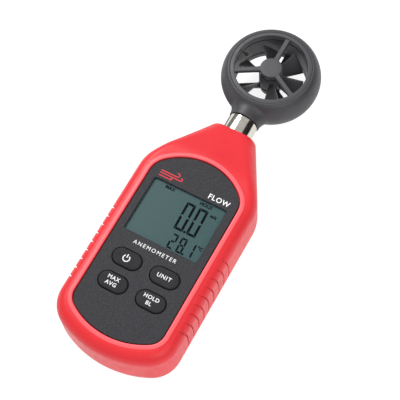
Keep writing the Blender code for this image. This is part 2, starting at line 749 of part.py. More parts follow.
def front_panel(frame):
    outline = mirrored_loop(panel_half(-GAP / 2))
    panel = new_object("front_panel", prism(outline, PANEL_Z - PANEL_THICK, PANEL_Z), panel_plastic(), frame)
    window = rounded_box(WINDOW_WIDTH + 2 * GAP, WINDOW_HEIGHT + 2 * GAP, WINDOW_CORNER + GAP, (0, WINDOW_Y))
    cut(panel, "panel_window", prism(window, SEAT_Z, BEAD_TOP))
    cut(panel, "panel_keys", key_cutter(SEAT_Z, BEAD_TOP))


def lcd_parts(frame):
    window = rounded_box(WINDOW_WIDTH, WINDOW_HEIGHT, WINDOW_CORNER, (0, WINDOW_Y))
    low = PANEL_Z - PANEL_THICK
    new_object("lcd_window", prism(window, low, low + WINDOW_THICK), clear_window(), frame)
    half_w = WINDOW_WIDTH / 2 + GLASS_MARGIN
    y_low = WINDOW_Y - WINDOW_HEIGHT / 2 - GLASS_MARGIN
    y_high = WINDOW_Y + WINDOW_HEIGHT / 2 + GLASS_MARGIN
    glass = box((-half_w, y_low, GLASS_Z), (half_w, y_high, GLASS_Z + GLASS_THICK))
    new_object("lcd_glass", glass, lcd_grey(), frame)
    strip_end = y_low + CONNECTOR_WIDTH
    strip = box((-half_w + WALL, y_low, BOARD_TOP + GAP), (half_w - WALL, strip_end, GLASS_Z - GAP))
    new_object("lcd_connector", strip, black_rubber(), frame)
    light = box((-half_w + WALL, strip_end + GAP, BOARD_TOP + GAP), (half_w - WALL, y_high, GLASS_Z - GAP))
    new_object("backlight_plate", light, backlight_white(), frame)


def circuit_board(frame):
    middle = (0, (BOARD_START + BOARD_END) / 2)
    outline = rounded_box(2 * BOARD_HALF_WIDTH, BOARD_END - BOARD_START, WALL, middle)
    board = new_object("circuit_board", prism(outline, BOARD_Z, BOARD_TOP), board_green(), frame)
    low = BOARD_Z - WALL
    high = BOARD_TOP + WALL
    cut(board, "boss_notches", round_holes(CASE_SCREWS, BOSS_RADIUS + 2 * GAP, low, high))
    cut(board, "board_holes", round_holes(BOARD_SCREWS, SCREW_RADIUS + GAP, low, high))


def electronics(frame):
    base = BOARD_TOP + GAP
    half = CHIP_SIDE / 2
    chip = box((CHIP_X - half, CHIP_Y - half, base), (CHIP_X + half, CHIP_Y + half, base + CHIP_THICK))
    new_object("processor_chip", chip, chip_black(), frame)
    width, length, height = SOCKET_SIZE
    end = BOARD_END - GAP
    socket = box((-width / 2, end - length, base), (width / 2, end, base + height))
    new_object("sensor_socket", socket, backlight_white(), frame)
    buzzer = solid_round([(BUZZER_RADIUS, base), (BUZZER_RADIUS, base + BUZZER_HEIGHT)], SMALL_ROUND)
    new_object("buzzer", buzzer, chip_black(), frame, (0, BUZZER_Y, 0))


def keypad(frame):
    """Rubber mat, the four keys that pass through it and the switches below them."""
    width = 2 * (KEY_X + KEY_LENGTH / 2 + MAT_MARGIN)
    height = KEY_ROWS[0] - KEY_ROWS[1] + KEY_WIDTH + 2 * MAT_MARGIN
    middle = (0, (KEY_ROWS[0] + KEY_ROWS[1]) / 2)
    outline = rounded_box(width, height, WALL, middle)
    mat = new_object("keypad_mat", prism(outline, MAT_Z, MAT_Z + MAT_THICK), key_rubber(), frame)
    cut(mat, "mat_holes", key_cutter(MAT_Z - WALL, MAT_Z + MAT_THICK + WALL))
    for name, centre in key_places():
        key(name, centre, frame)
        base = BOARD_TOP + GAP
        half = SWITCH_SIDE / 2
        switch = bmesh.new()
        body = rounded_box(2 * half, 2 * half, GAP, steps=1)
        stem = rounded_box(half, half, GAP, steps=1)
        levels = ((body, base), (body, base + SWITCH_HEIGHT), (stem, base + SWITCH_HEIGHT),
                  (stem, base + SWITCH_HEIGHT + SWITCH_PLUNGER))
        add_loft(switch, [[(x, y, z) for x, y in rim] for rim, z in levels])
        new_object(name.replace("_key", "_switch"), switch, steel(), frame, (*centre, 0))


def key(name, centre, frame):
    """One rubber key: stem, flange under the mat and soft upper edge; its origin is the middle of its top."""
    flange_high = MAT_Z - GAP - KEY_TOP
    flange_low = flange_high - KEY_FLANGE_THICK
    soft = KEY_EDGE
    shoulder = KEY_EDGE * (1 - math.sqrt(0.5))
    levels = ((0.0, KEY_BOTTOM - KEY_TOP), (0.0, flange_low), (KEY_FLANGE, flange_low),
              (KEY_FLANGE, flange_high), (0.0, flange_high), (0.0, -soft), (-shoulder, -shoulder), (-soft, 0.0))
    rings = []
    for grow, z in levels:
        rings.append([(x, y, z) for x, y in stadium(KEY_LENGTH, KEY_WIDTH, (0, 0), grow)])
    new_object(name, loft(rings), key_rubber(), frame, (*centre, KEY_TOP))


def screw(name, place, base, length, frame):
    """Pan-head screw with its head down and its shank up."""
    profile = [(SCREW_HEAD_RADIUS - GAP, base), (SCREW_HEAD_RADIUS, base + GAP),
               (SCREW_HEAD_RADIUS, base + SCREW_HEAD), (SCREW_RADIUS, base + SCREW_HEAD),
               (SCREW_RADIUS, base + length - SCREW_RADIUS), (SCREW_RADIUS / 3, base + length)]
    new_object(name, solid_round(profile, PIN_STEPS), steel(), frame, (*place, 0))


def screws(frame):
    for index, place in enumerate(screw_places(CASE_SCREWS), start=1):
        screw(f"case_screw_{index}", place, SCREW_SINK, CASE_SCREW_LENGTH, frame)
    for index, place in enumerate(screw_places(BOARD_SCREWS), start=1):
        screw(f"board_screw_{index}", place, BOARD_Z - GAP - SCREW_HEAD, BOARD_SCREW_LENGTH, frame)


def batteries(frame):
    """Cells side by side, each between a coil spring and a contact plate."""
    for index in range(CELL_COUNT):
        x = CELL_PITCH * (index - (CELL_COUNT - 1) / 2)
        step_y = CELL_LENGTH - CELL_NUB_LENGTH
        profile = [(CELL_RADIUS - GAP, 0.0), (CELL_RADIUS, GAP), (CELL_RADIUS, step_y - GAP),
                   (CELL_RADIUS - GAP, step_y), (CELL_NUB_RADIUS, step_y), (CELL_NUB_RADIUS, CELL_LENGTH)]
        cell = aim_y(solid_round(profile, CELL_SIDES))
        new_object(f"battery_{index + 1}", cell, cell_wrap(), frame, (x, CELL_START, CELL_Z))
        new_object(f"battery_spring_{index + 1}", spring(), steel(), frame,
                   (x, BAY_INNER_START + GAP + SPRING_WIRE, CELL_Z))
        plate = box((-SPRING_RADIUS, 0, -SPRING_RADIUS), (SPRING_RADIUS, CONTACT_THICK, SPRING_RADIUS))
        new_object(f"battery_contact_{index + 1}", plate, steel(), frame, (x, CELL_END + GAP, CELL_Z))


def spring():
    """Conical coil spring along +Y: a round wire carried along a tightening helix."""
    steps = SPRING_STEPS * SPRING_TURNS
    length = SPRING_LENGTH - 2 * SPRING_WIRE
    rings = []
    for i in range(steps + 1):
        share = i / steps
        angle = 2 * math.pi * SPRING_TURNS * share
        radius = SPRING_RADIUS * (1 - SPRING_CONE * share)
        outward = Vector((math.cos(angle), 0, math.sin(angle)))
        centre = outward * radius + Vector((0, length * share, 0))
        ring = []
        for k in range(SPRING_SIDES):
            turn = 2 * math.pi * k / SPRING_SIDES
            along = Vector((0, SPRING_WIRE * math.sin(turn), 0))
            ring.append(tuple(centre + outward * SPRING_WIRE * math.cos(turn) + along))
        rings.append(ring)
    return loft(rings)


# ---------------------------------------------------------------- neck

def neck(frame):
    """Plated tube: slim thread in the case, full width outside it, slim spigot that the head turns on."""
    start = CASE_LENGTH - TUBE_INSIDE
    seat = CASE_LENGTH - TUBE_SEAT + GAP
    shoulder = COLLAR_EDGE_Y - GAP
    end = COLLAR_EDGE_Y + SPIGOT_LENGTH
    profile = [(TUBE_BORE, start), (SPIGOT_RADIUS, start), (SPIGOT_RADIUS, seat), (TUBE_RADIUS, seat),
               (TUBE_RADIUS, shoulder), (SPIGOT_RADIUS, shoulder), (SPIGOT_RADIUS, end), (TUBE_BORE, end)]
    new_object("neck_tube", aim_y(turned(profile), z=NECK_Z), plated_metal(), frame)
    nut_end = CASE_LENGTH - NECK_WALL - GAP
    inner = SPIGOT_RADIUS + GAP
    nut = turned([(inner, nut_end - NUT_LENGTH), (NUT_RADIUS, nut_end - NUT_LENGTH),
                  (NUT_RADIUS, nut_end), (inner, nut_end)], SMALL_ROUND)
    new_object("tube_nut", aim_y(nut, z=NECK_Z), steel(), frame)
    sensor_cable(frame)


def sensor_cable(frame):
    """Lead from the board's socket up into the bore of the neck tube."""
    socket_z = BOARD_TOP + GAP + SOCKET_SIZE[2] / 2
    route = [Vector((0, BOARD_END + GAP, socket_z)), Vector((0, BOARD_END + 3 * MM, socket_z)),
             Vector((0, BOARD_END + 9 * MM, NECK_Z)), Vector((0, CASE_LENGTH - TUBE_INSIDE, NECK_Z)),
             Vector((0, COLLAR_EDGE_Y + SPIGOT_LENGTH - 2 * GAP, NECK_Z))]
    curve = bpy.data.curves.new("sensor_cable", "CURVE")
    curve.dimensions = "3D"
    curve.bevel_depth = CABLE_RADIUS
    curve.bevel_resolution = 2
    curve.use_fill_caps = True
    points = smooth_points(route, 4)
    spline = curve.splines.new("POLY")
    spline.points.add(len(points) - 1)
    for point, place in zip(spline.points, points):
        point.co = (*place, 1.0)
    curve.materials.append(black_rubber())
    cable = bpy.data.objects.new("sensor_cable", curve)
    bpy.context.scene.collection.objects.link(cable)
    cable.parent = frame


def smooth_points(route, steps):
    """Catmull-Rom points through a route, with steps points per stretch."""
    ends = [route[0] * 2 - route[1], *route, route[-1] * 2 - route[-2]]
    points = []
    for before, start, end, after in zip(ends, ends[1:], ends[2:], ends[3:]):
        for i in range(steps):
            t = i / steps
            points.append(0.5 * ((2 * start) + (end - before) * t
                                 + (2 * before - 5 * start + 4 * end - after) * t ** 2
                                 + (3 * start - before - 3 * end + after) * t ** 3))
    points.append(route[-1])
    return points


# ---------------------------------------------------------------- head

def barrel_radius(height):
    """Outside radius of the barrel at a height over its mid plane."""
    share = min(1.0, abs(height) / HEAD_HALF)
    bulge = (1 - share ** BARREL_ROUND) ** (1 / BARREL_ROUND)
    return BARREL_FACE_RADIUS + (HEAD_RADIUS - BARREL_FACE_RADIUS) * bulge


def head_ring(head):
    """Barrel with a round outside and a collar at the neck, bored for the duct, the guards and the spigot."""
    outside = []
    for i in range(BARREL_STEPS + 1):
        angle = -math.pi / 2 + math.pi * i / BARREL_STEPS
        height = HEAD_HALF * math.sin(angle)
        outside.append((barrel_radius(height), height))
    barrel = solid_round(outside, HEAD_STEPS)
    ring = new_object("head_ring", barrel, head_plastic(), head, (0, COLLAR_REACH, 0))
    collar = [(COLLAR_RADIUS - GAP, COLLAR_RADIUS - GAP, 0.0), (COLLAR_RADIUS, COLLAR_RADIUS, GAP)]
    for i in range(COLLAR_STEPS + 1):
        share = (i / COLLAR_STEPS) ** COLLAR_FLARE_POWER
        collar.append((COLLAR_RADIUS + (COLLAR_ROOT_WIDTH / 2 - COLLAR_RADIUS) * share,
                       COLLAR_RADIUS + (COLLAR_ROOT_DEPTH / 2 - COLLAR_RADIUS) * share,
                       COLLAR_STRAIGHT + COLLAR_FLARE * i / COLLAR_STEPS))
    collar.append((COLLAR_RADIUS, COLLAR_RADIUS, COLLAR_REACH - DUCT_RADIUS - GAP))
    rings = []
    for wide, deep, along in collar:
        rings.append([(x * wide, along - COLLAR_REACH, z * deep) for x, z in circle(1.0, ROUND)])
    fuse(ring, "collar", loft(rings))
    seat = GUARD_LOW - GAP
    beyond = 2 * HEAD_HALF
    steps = [(GUARD_SEAT_RADIUS, -beyond), (GUARD_SEAT_RADIUS, -seat), (DUCT_RADIUS, -seat),
             (DUCT_RADIUS, seat), (GUARD_SEAT_RADIUS, seat), (GUARD_SEAT_RADIUS, beyond)]
    inside = solid_round(steps, HEAD_STEPS)
    cut(ring, "head_inside", inside)
    seal_radius = COLLAR_RADIUS - SEAL_LIP
    bore = solid_round([(seal_radius, -GAP), (seal_radius, RING_SEAL + GAP),
                        (SPIGOT_RADIUS + GAP, RING_SEAL + GAP), (SPIGOT_RADIUS + GAP, SPIGOT_LENGTH + GAP)])
    cut(ring, "spigot_bore", aim_y(bore, y=-COLLAR_REACH))
    seal = turned([(SPIGOT_RADIUS + GAP, GAP / 2), (seal_radius - GAP, GAP / 2),
                   (seal_radius - GAP, RING_SEAL), (SPIGOT_RADIUS + GAP, RING_SEAL)])
    new_object("swivel_seal", aim_y(seal), black_rubber(), head)


def guard(name, side, head):
    """Rim, spokes and hub disc of one guard; side is +1 at the front and -1 at the rear."""
    outer = GUARD_SEAT_RADIUS - GAP
    rim = turned([(DUCT_RADIUS, GUARD_LOW), (outer, GUARD_LOW), (outer, GUARD_TOP - GUARD_LIP),
                  (DUCT_RADIUS, GUARD_TOP)], HEAD_STEPS)
    made = new_object(name, rim, head_plastic(), head, (0, COLLAR_REACH, 0))
    made.rotation_euler = (0, math.pi if side < 0 else 0, 0)
    spokes_high = GUARD_TOP - GUARD_LIP
    spokes_low = spokes_high - SPOKE_THICK
    for index in range(SPOKE_COUNT):
        half = SPOKE_WIDTH / 2
        spoke = box((0, -half, spokes_low), (DUCT_RADIUS + SPOKE_SINK, half, spokes_high - 2 * TINY))
        angle = math.pi / 2 + 2 * math.pi * index / SPOKE_COUNT
        bmesh.ops.rotate(spoke, verts=spoke.verts, cent=(0, 0, 0), matrix=Matrix.Rotation(angle, 3, "Z"))
        fuse_turned(made, f"{name}_spoke_{index}", spoke)
    hub_low = spokes_high - GUARD_HUB_THICK
    hub = solid_round([(GUARD_HUB_RADIUS, hub_low), (GUARD_HUB_RADIUS, spokes_high - GAP),
                       (GUARD_HUB_RADIUS - GAP, spokes_high)], SMALL_ROUND)
    fuse_turned(made, f"{name}_hub", hub)
    pocket_top = hub_low + BEARING_HEIGHT + 2 * GAP
    hole = BEARING_RADIUS + GAP
    pocket = solid_round([(hole, hub_low - GAP), (hole, pocket_top)], SMALL_ROUND)
    tool = helper(f"{name}_pocket", pocket, head, made.location)
    tool.rotation_euler = made.rotation_euler
    combine(made, tool, "DIFFERENCE")
    bearing = turned([(SHAFT_RADIUS + GAP, hub_low + GAP), (BEARING_RADIUS, hub_low + GAP),
                      (BEARING_RADIUS, hub_low + GAP + BEARING_HEIGHT),
                      (SHAFT_RADIUS + GAP, hub_low + GAP + BEARING_HEIGHT)], SMALL_ROUND)
    seat = new_object(name.replace("guard", "bearing"), bearing, steel(), head, made.location)
    seat.rotation_euler = made.rotation_euler


def fuse_turned(target, name, bm):
    tool = helper(name, bm, target.parent, target.location)
    tool.rotation_euler = target.rotation_euler
    combine(target, tool, "UNION")


def vane(axis):
    """Six flat pitched blades on a hub, the shaft they turn on, and the ring magnet."""
    hub = turned([(SHAFT_RADIUS + GAP, -VANE_HUB_HALF), (VANE_HUB_RADIUS, -VANE_HUB_HALF),
                  (VANE_HUB_RADIUS, VANE_HUB_HALF - GAP), (VANE_HUB_RADIUS - GAP, VANE_HUB_HALF),
                  (SHAFT_RADIUS + GAP, VANE_HUB_HALF)])
    made = new_object("impeller", hub, head_plastic(), axis)
    for index in range(BLADE_COUNT):
        fuse(made, f"blade_{index}", blade(BLADE_LEAD_ANGLE + 2 * math.pi * index / BLADE_COUNT))
    shaft = solid_round([(SHAFT_RADIUS - GAP, -SHAFT_HALF), (SHAFT_RADIUS, -SHAFT_HALF + GAP),
                         (SHAFT_RADIUS, SHAFT_HALF - GAP), (SHAFT_RADIUS - GAP, SHAFT_HALF)], PIN_STEPS)
    new_object("impeller_shaft", shaft, steel(), axis)
    top = -VANE_HUB_HALF - GAP
    magnet = turned([(SHAFT_RADIUS + GAP, top - MAGNET_THICK), (MAGNET_RADIUS, top - MAGNET_THICK),
                     (MAGNET_RADIUS, top), (SHAFT_RADIUS + GAP, top)], SMALL_ROUND)
    new_object("rotor_magnet", magnet, chip_black(), axis)


def blade(lead_angle):
    """Blade as a thin loft from inside the hub to the tip; its lower edge trails by BLADE_SWEEP."""
    rings = []
    root = VANE_HUB_RADIUS - BLADE_SINK
    for step in range(BLADE_STEPS + 1):
        radius = root + (BLADE_TIP - root) * step / BLADE_STEPS
        ring = []
        for side in (1, -1):
            heights = (-1, 1) if side > 0 else (1, -1)
            for end in heights:
                angle = lead_angle - BLADE_SWEEP * (0.5 - 0.5 * end) + side * BLADE_THICK / 2 / radius
                ring.append((radius * math.cos(angle), radius * math.sin(angle), end * BLADE_HALF_DEPTH))
        rings.append(ring)
    return loft(rings)


def head_sensors(head):
    """Magnetic pick-up on a spoke of the rear guard and the thermistor bead at the duct wall."""
    length, width, height = HALL_SIZE
    spoke_top = -(GUARD_TOP - GUARD_LIP - SPOKE_THICK)
    chip = box((-width / 2, HALL_RADIUS - length / 2, spoke_top + GAP),
               (width / 2, HALL_RADIUS + length / 2, spoke_top + GAP + height))
    new_object("hall_sensor", chip, chip_black(), head, (0, COLLAR_REACH, 0))
    reach = DUCT_RADIUS - BEAD_SENSOR_REACH
    bead = solid_round([(GAP, -BEAD_SENSOR_RADIUS), (BEAD_SENSOR_RADIUS * 0.8, -BEAD_SENSOR_RADIUS * 0.6),
                        (BEAD_SENSOR_RADIUS, 0), (BEAD_SENSOR_RADIUS * 0.8, BEAD_SENSOR_RADIUS * 0.6),
                        (GAP, BEAD_SENSOR_RADIUS), (GAP, BEAD_SENSOR_REACH - GAP)], PIN_STEPS)
    bmesh.ops.rotate(bead, verts=bead.verts, cent=(0, 0, 0), matrix=Matrix.Rotation(math.pi / 2, 3, "Y"))
    bmesh.ops.translate(bead, verts=bead.verts, vec=(reach, 0, 0))
    turn = Matrix.Rotation(BEAD_SENSOR_ANGLE, 3, "Z")
    bmesh.ops.rotate(bead, verts=bead.verts, cent=(0, 0, 0), matrix=turn)
    height = (BLADE_HALF_DEPTH + GUARD_TOP - GUARD_LIP - SPOKE_THICK) / 2
    new_object("temperature_sensor", bead, chip_black(), head, (0, COLLAR_REACH, height))


def build():
    clear_scene()
    frame = bpy.data.objects.new("case_frame", None)
    bpy.context.scene.collection.objects.link(frame)
    frame.location = (0, -TOTAL_LENGTH / 2, 0)
    head = bpy.data.objects.new("head_swivel", None)
    bpy.context.scene.collection.objects.link(head)
    head.parent = frame
    head.location = (0, COLLAR_EDGE_Y, NECK_Z)
    axis = bpy.data.objects.new("vane_axis", None)
    bpy.context.scene.collection.objects.link(axis)
    axis.parent = head
    axis.location = (0, COLLAR_REACH, 0)
    front_case(frame)
    rear_case(frame)
    battery_door(frame)
    front_panel(frame)
    lcd_parts(frame)
    circuit_board(frame)
    electronics(frame)
    keypad(frame)
    screws(frame)
    batteries(frame)
    neck(frame)
    head_ring(head)
    guard("front_guard", 1, head)
    guard("rear_guard", -1, head)
    head_sensors(head)
    vane(axis)


build()
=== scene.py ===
# %% [markdown]
# # A handheld wind meter
# The meter is a red two-part case with a dark panel, a display and four keys, and a plated tube that
# carries a round head with a small vane.  The frame holds its plain CAD solids.  Here each visible piece
# is made again as a fine surface, with the finish that the real one has.

# %% The frame and its measures
import math

import bmesh
import bpy
import numpy as np
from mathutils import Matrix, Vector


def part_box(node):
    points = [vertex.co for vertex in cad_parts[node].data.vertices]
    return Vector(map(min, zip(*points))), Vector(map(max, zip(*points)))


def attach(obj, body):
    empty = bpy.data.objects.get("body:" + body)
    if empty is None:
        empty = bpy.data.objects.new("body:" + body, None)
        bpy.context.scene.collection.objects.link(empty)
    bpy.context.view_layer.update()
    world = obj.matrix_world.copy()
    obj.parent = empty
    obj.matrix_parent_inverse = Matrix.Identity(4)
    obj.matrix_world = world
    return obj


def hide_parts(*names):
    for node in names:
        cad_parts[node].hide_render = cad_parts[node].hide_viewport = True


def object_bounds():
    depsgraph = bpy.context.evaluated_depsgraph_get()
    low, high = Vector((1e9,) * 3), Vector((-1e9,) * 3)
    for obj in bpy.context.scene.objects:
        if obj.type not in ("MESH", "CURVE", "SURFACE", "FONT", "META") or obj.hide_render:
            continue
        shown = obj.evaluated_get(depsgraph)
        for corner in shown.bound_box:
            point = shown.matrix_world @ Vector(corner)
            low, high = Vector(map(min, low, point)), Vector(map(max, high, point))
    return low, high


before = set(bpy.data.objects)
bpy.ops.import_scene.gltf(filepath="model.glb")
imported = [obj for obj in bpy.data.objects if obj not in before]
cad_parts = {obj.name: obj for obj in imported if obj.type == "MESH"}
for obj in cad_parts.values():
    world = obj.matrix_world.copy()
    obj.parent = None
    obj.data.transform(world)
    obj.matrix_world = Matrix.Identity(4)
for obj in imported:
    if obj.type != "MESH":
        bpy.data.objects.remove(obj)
cad_box = [list(map(float, corner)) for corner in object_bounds()]

# %% [markdown]
# ## Measures
# All sizes are in millimetres, with y = 0 at the case's lower end and z = 0 at its back.  One function
# turns them into metres in the frame at the very end, so that every surface can be thought of in the
# maker's own measures.

# %% Sizes of the case
MM = 0.001
START_Y = cad_box[0][1]
GAP = 0.3
LENGTH, HALF_WIDTH, DEPTH = 107.5, 25.5, 27.6
LOW_ARC, LOW_CORNER = 42.0, 12.5
SHOULDER_Y, SHOULDER_ARC = 78.8, 16.0
NECK_HALF, NECK_DEPTH, NECK_CORNER = 9.45, 17.0, 2.6
NECK_ROLL, NECK_WALL = 1.6, 3.0
AXIS_Z = 14.0
SLOPE_START, SLOPE_EASE = 84.0, 3.0
PARTING = 6.5
WALL = 2.0
BEAD_TOP, BEAD_WIDTH, BEAD_ROUND, LEDGE = 27.97, 1.4, 0.75, 1.6
PANEL_HALF, PANEL_LOW, PANEL_HIGH, PANEL_Z = 19.35, 6.7, 86.1, 27.3
WINDOW = (31.8, 24.3, 59.4)
GROOVES, GROOVE_PITCH, GROOVE_Y, GROOVE_DEEP, GROOVE_BOW = 9, 4.0, 20.6, 0.75, 2.0
GROOVE_SPAN = (3.0, 27.2)

# %% Sizes of the neck and the head
NECK_END = LENGTH + 7.4
COLLAR = 24.15
HEAD_Y = NECK_END + COLLAR
RING_RADIUS, RING_FACE, RING_HALF, DUCT = 20.95, 17.5, 7.9, 15.2
GUARD_SEAT, GUARD_TOP = 17.1, 8.1
TUBE, TUBE_GAP = 6.3, 0.12
print("head centre", round(HEAD_Y, 2), "mm from the lower end")

# %% [markdown]
# ## Surfaces from grids
# Nearly every piece is a grid of points: rings that follow each other, each ring closed on itself.
# A grid can end in two caps, or its last ring can join its first, which makes a tube with a wall.
# Both give a closed skin.  Numpy works out all points at once, and Blender gets them in one go.


# %% Grids and closed skins
def skin(points, loop=False, fan=True):
    """Closed surface from rings of points (rings x points x 3).

    Point (i, j) joins (i, j+1) and (i+1, j).  With loop the last ring joins the first; otherwise both end
    rings are closed by a fan of triangles round their middle, or are already folded flat onto a line.
    """
    points = np.asarray(points, float)
    rows, cols, _ = points.shape
    i = np.arange(rows if loop else rows - 1)[:, None]
    j = np.arange(cols)[None, :]
    after, beside = (i + 1) % rows, (j + 1) % cols
    quads = np.stack([i * cols + j, i * cols + beside, after * cols + beside, after * cols + j], -1)
    verts = points.reshape(-1, 3)
    fans = np.zeros((0, 3), int)
    if fan and not loop:
        verts = np.vstack([verts, points[0].mean(0), points[-1].mean(0)])
        here, following = np.arange(cols), (np.arange(cols) + 1) % cols
        last = (rows - 1) * cols
        low = np.stack([following, here, np.full(cols, rows * cols)], -1)
        high = np.stack([last + here, last + following, np.full(cols, rows * cols + 1)], -1)
        fans = np.vstack([low, high])
    return verts, quads.reshape(-1, 4), fans


def together(*shapes):
    """Several closed skins as one shape: points stacked, faces counted on."""
    start = np.cumsum([0] + [len(shape[0]) for shape in shapes[:-1]])
    return (np.vstack([shape[0] for shape in shapes]),
            np.vstack([shape[1] + s for shape, s in zip(shapes, start)]),
            np.vstack([shape[2] + s for shape, s in zip(shapes, start)]))


def moved(shape, x=0.0, y=0.0, z=0.0):
    """The same shape somewhere else."""
    return shape[0] + np.array([x, y, z]), shape[1], shape[2]


def turned_about_z(shape, angle):
    """Points turned about the z axis: x' = x cos a - y sin a, y' = x sin a + y cos a."""
    x, y, z = shape[0].T
    c, s = math.cos(angle), math.sin(angle)
    return np.stack([c * x - s * y, s * x + c * y, z], -1), shape[1], shape[2]


def flipped(shape):
    """The same shape upside down, turned half a turn about the y axis."""
    return shape[0] * np.array([-1.0, 1.0, -1.0]), shape[1], shape[2]


def along_y(shape, z=0.0):
    """Shape made about the z axis laid along y: (x, y, z) becomes (x, z, -y)."""
    x, aside, height = shape[0].T
    return np.stack([x, height, z - aside], -1), shape[1], shape[2]


def around(steps):
    """Angles of so many points evenly round a circle."""
    return 2 * np.pi * np.arange(steps) / steps


def turned(profile, steps, loop=True):
    """Profile of (radius, height) turned about z: (r cos a, r sin a, h).

    With loop the profile is closed and bounds a wall; otherwise it is one side of a solid piece.
    """
    r, h = np.array(profile, float).T[:, :, None]
    a = around(steps)
    return skin(np.stack([r * np.cos(a), r * np.sin(a), np.repeat(h, steps, 1)], -1), loop)


print("grid tools ready")


# %% [markdown]
# ### From numbers to a piece
# A grid becomes a mesh with from_pydata.  A grid can be wound either way, so the normals are worked out
# again, and only edges above an angle stay sharp.  Round holes through a shell are awkward to draw as a
# grid, so a Boolean modifier cuts them and its result is stored in the mesh.


# %% From numbers to a piece
def placed(name, data):
    """Object in the scene for a mesh, a text, a lamp or a camera."""
    made = bpy.data.objects.new(name, data)
    bpy.context.scene.collection.objects.link(made)
    return made


def piece(name, shape, finish, smooth=38.0):
    """Mesh object from a shape in millimetres, faces outwards, soft edges below the angle smooth."""
    verts, quads, fans = shape
    mesh = bpy.data.meshes.new(name)
    points = verts * MM + np.array([0.0, START_Y, 0.0])
    mesh.from_pydata(points.tolist(), [], quads.tolist() + fans.tolist())
    outwards(mesh)
    soften(mesh, smooth)
    mesh.materials.append(finish)
    return placed(name, mesh)


def outwards(mesh):
    """Merge doubles, drop faces without area and turn every closed skin's faces outwards."""
    work = bmesh.new()
    work.from_mesh(mesh)
    bmesh.ops.remove_doubles(work, verts=work.verts, dist=1e-7)
    bmesh.ops.dissolve_degenerate(work, edges=work.edges, dist=1e-7)
    bmesh.ops.recalc_face_normals(work, faces=work.faces)
    work.to_mesh(mesh)
    work.free()


def soften(mesh, angle):
    """Smooth shading with sharp edges where two faces meet at more than the angle, in degrees."""
    mesh.shade_smooth()
    mesh.set_sharp_from_angle(angle=math.radians(angle))


def fit(made, body, *nodes, slot=None):
    """The piece moves with a body and stands for CAD nodes, which it hides; slot is not used."""
    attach(made, body)
    if nodes:
        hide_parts(*nodes)
    print(f"{made.name}: {len(made.data.polygons)} faces on {body}")
    return made


def carve(made, tool, operation="DIFFERENCE", smooth=38.0):
    """Cut a closed shape out of a piece, or keep only what lies inside it, and store the result."""
    cutter = piece("cutter", tool, made.data.materials[0])
    step = made.modifiers.new("cut", "BOOLEAN")
    step.operation, step.solver, step.object = operation, "EXACT", cutter
    evaluated = made.evaluated_get(bpy.context.evaluated_depsgraph_get())
    result = bpy.data.meshes.new_from_object(evaluated)
    made.modifiers.clear()
    finish = made.data.materials[0]
    made.data = result
    result.name = made.name
    result.materials.clear()
    result.materials.append(finish)
    soften(result, smooth)
    bpy.data.objects.remove(cutter, do_unlink=True)
    return made


print("piece tools ready")

# %% [markdown]
# ## Finishes
# A finish is a Principled shader whose steady values are set on its sockets, with small patterns for
# grain, rubbing and shade.  The class below wraps one output, so that a pattern reads like a formula.


# %% Shader maths
class Wire:
    """One output in a finish.  Arithmetic on it adds Math nodes."""

    def __init__(self, tree, socket):
        self.tree, self.socket = tree, socket

    def node(self, kind, settings, sockets, output=0):
        """Any node: its settings first, then the values or links of its sockets."""
        made = self.tree.nodes.new(kind)
        for name, value in settings.items():
            setattr(made, name, value)
        for key, value in sockets.items():
            if isinstance(value, Wire):
                self.tree.links.new(value.socket, made.inputs[key])
            else:
                made.inputs[key].default_value = value
        return Wire(self.tree, made.outputs[output])

    def math(self, operation, *values):
        """Math node on values and links."""
        return self.node("ShaderNodeMath", {"operation": operation}, dict(enumerate(values)))

    def __add__(self, other):
        return self.math("ADD", self, other)

    def __sub__(self, other):
        return self.math("SUBTRACT", self, other)

    def __rsub__(self, other):
        return self.math("SUBTRACT", other, self)

    def __mul__(self, other):
        return self.math("MULTIPLY", self, other)

    __radd__, __rmul__ = __add__, __mul__

    def rise(self, low, high):
        """0 below low, 1 above high, with a soft step between."""
        return self.node("ShaderNodeMapRange", {"interpolation_type": "SMOOTHSTEP"},
                         {"Value": self, "From Min": low, "From Max": high})

    def noise(self, per_mm, detail=2.0, rough=0.5):
        """Cloudy pattern between 0 and 1 on this vector, with so many lumps per millimetre."""
        return self.node("ShaderNodeTexNoise", {},
                         {"Vector": self, "Scale": per_mm / MM, "Detail": detail, "Roughness": rough})

    def cells(self, per_mm):
        """Distance to the nearest of scattered points, for a grain of small pits."""
        return self.node("ShaderNodeTexVoronoi", {}, {"Vector": self, "Scale": per_mm / MM})

    def stretch(self, x, y, z):
        """This vector with each coordinate multiplied, so that patterns get longer or shorter there."""
        return self.node("ShaderNodeVectorMath", {"operation": "MULTIPLY"}, {0: self, 1: (x, y, z)})

    def part(self, axis):
        """One coordinate of a vector: 0 is x, 1 is y, 2 is z."""
        return self.node("ShaderNodeSeparateXYZ", {}, {0: self}, axis)

    def tint(self, low, high):
        """Colour between two colours; this value is the share of the second."""
        low, high = (end if isinstance(end, Wire) else (*end, 1.0) for end in (low, high))
        return self.node("ShaderNodeMix", {"data_type": "RGBA"}, {0: self, 6: low, 7: high}, 2)

    def relief(self, height_mm, strength=1.0):
        """Surface normal from this value taken as a height."""
        return self.node("ShaderNodeBump", {},
                         {"Strength": strength, "Distance": height_mm * MM, "Height": self})


def finish(name, values):
    """A Principled finish with its steady values; gives the material and its place on the piece."""
    made = bpy.data.materials.new(name)
    made.use_nodes = True
    tree = made.node_tree
    shader = tree.nodes["Principled BSDF"]
    for key, value in values.items():
        shader.inputs[key].default_value = value
    place = Wire(tree, tree.nodes.new("ShaderNodeTexCoord").outputs["Object"])
    return made, place


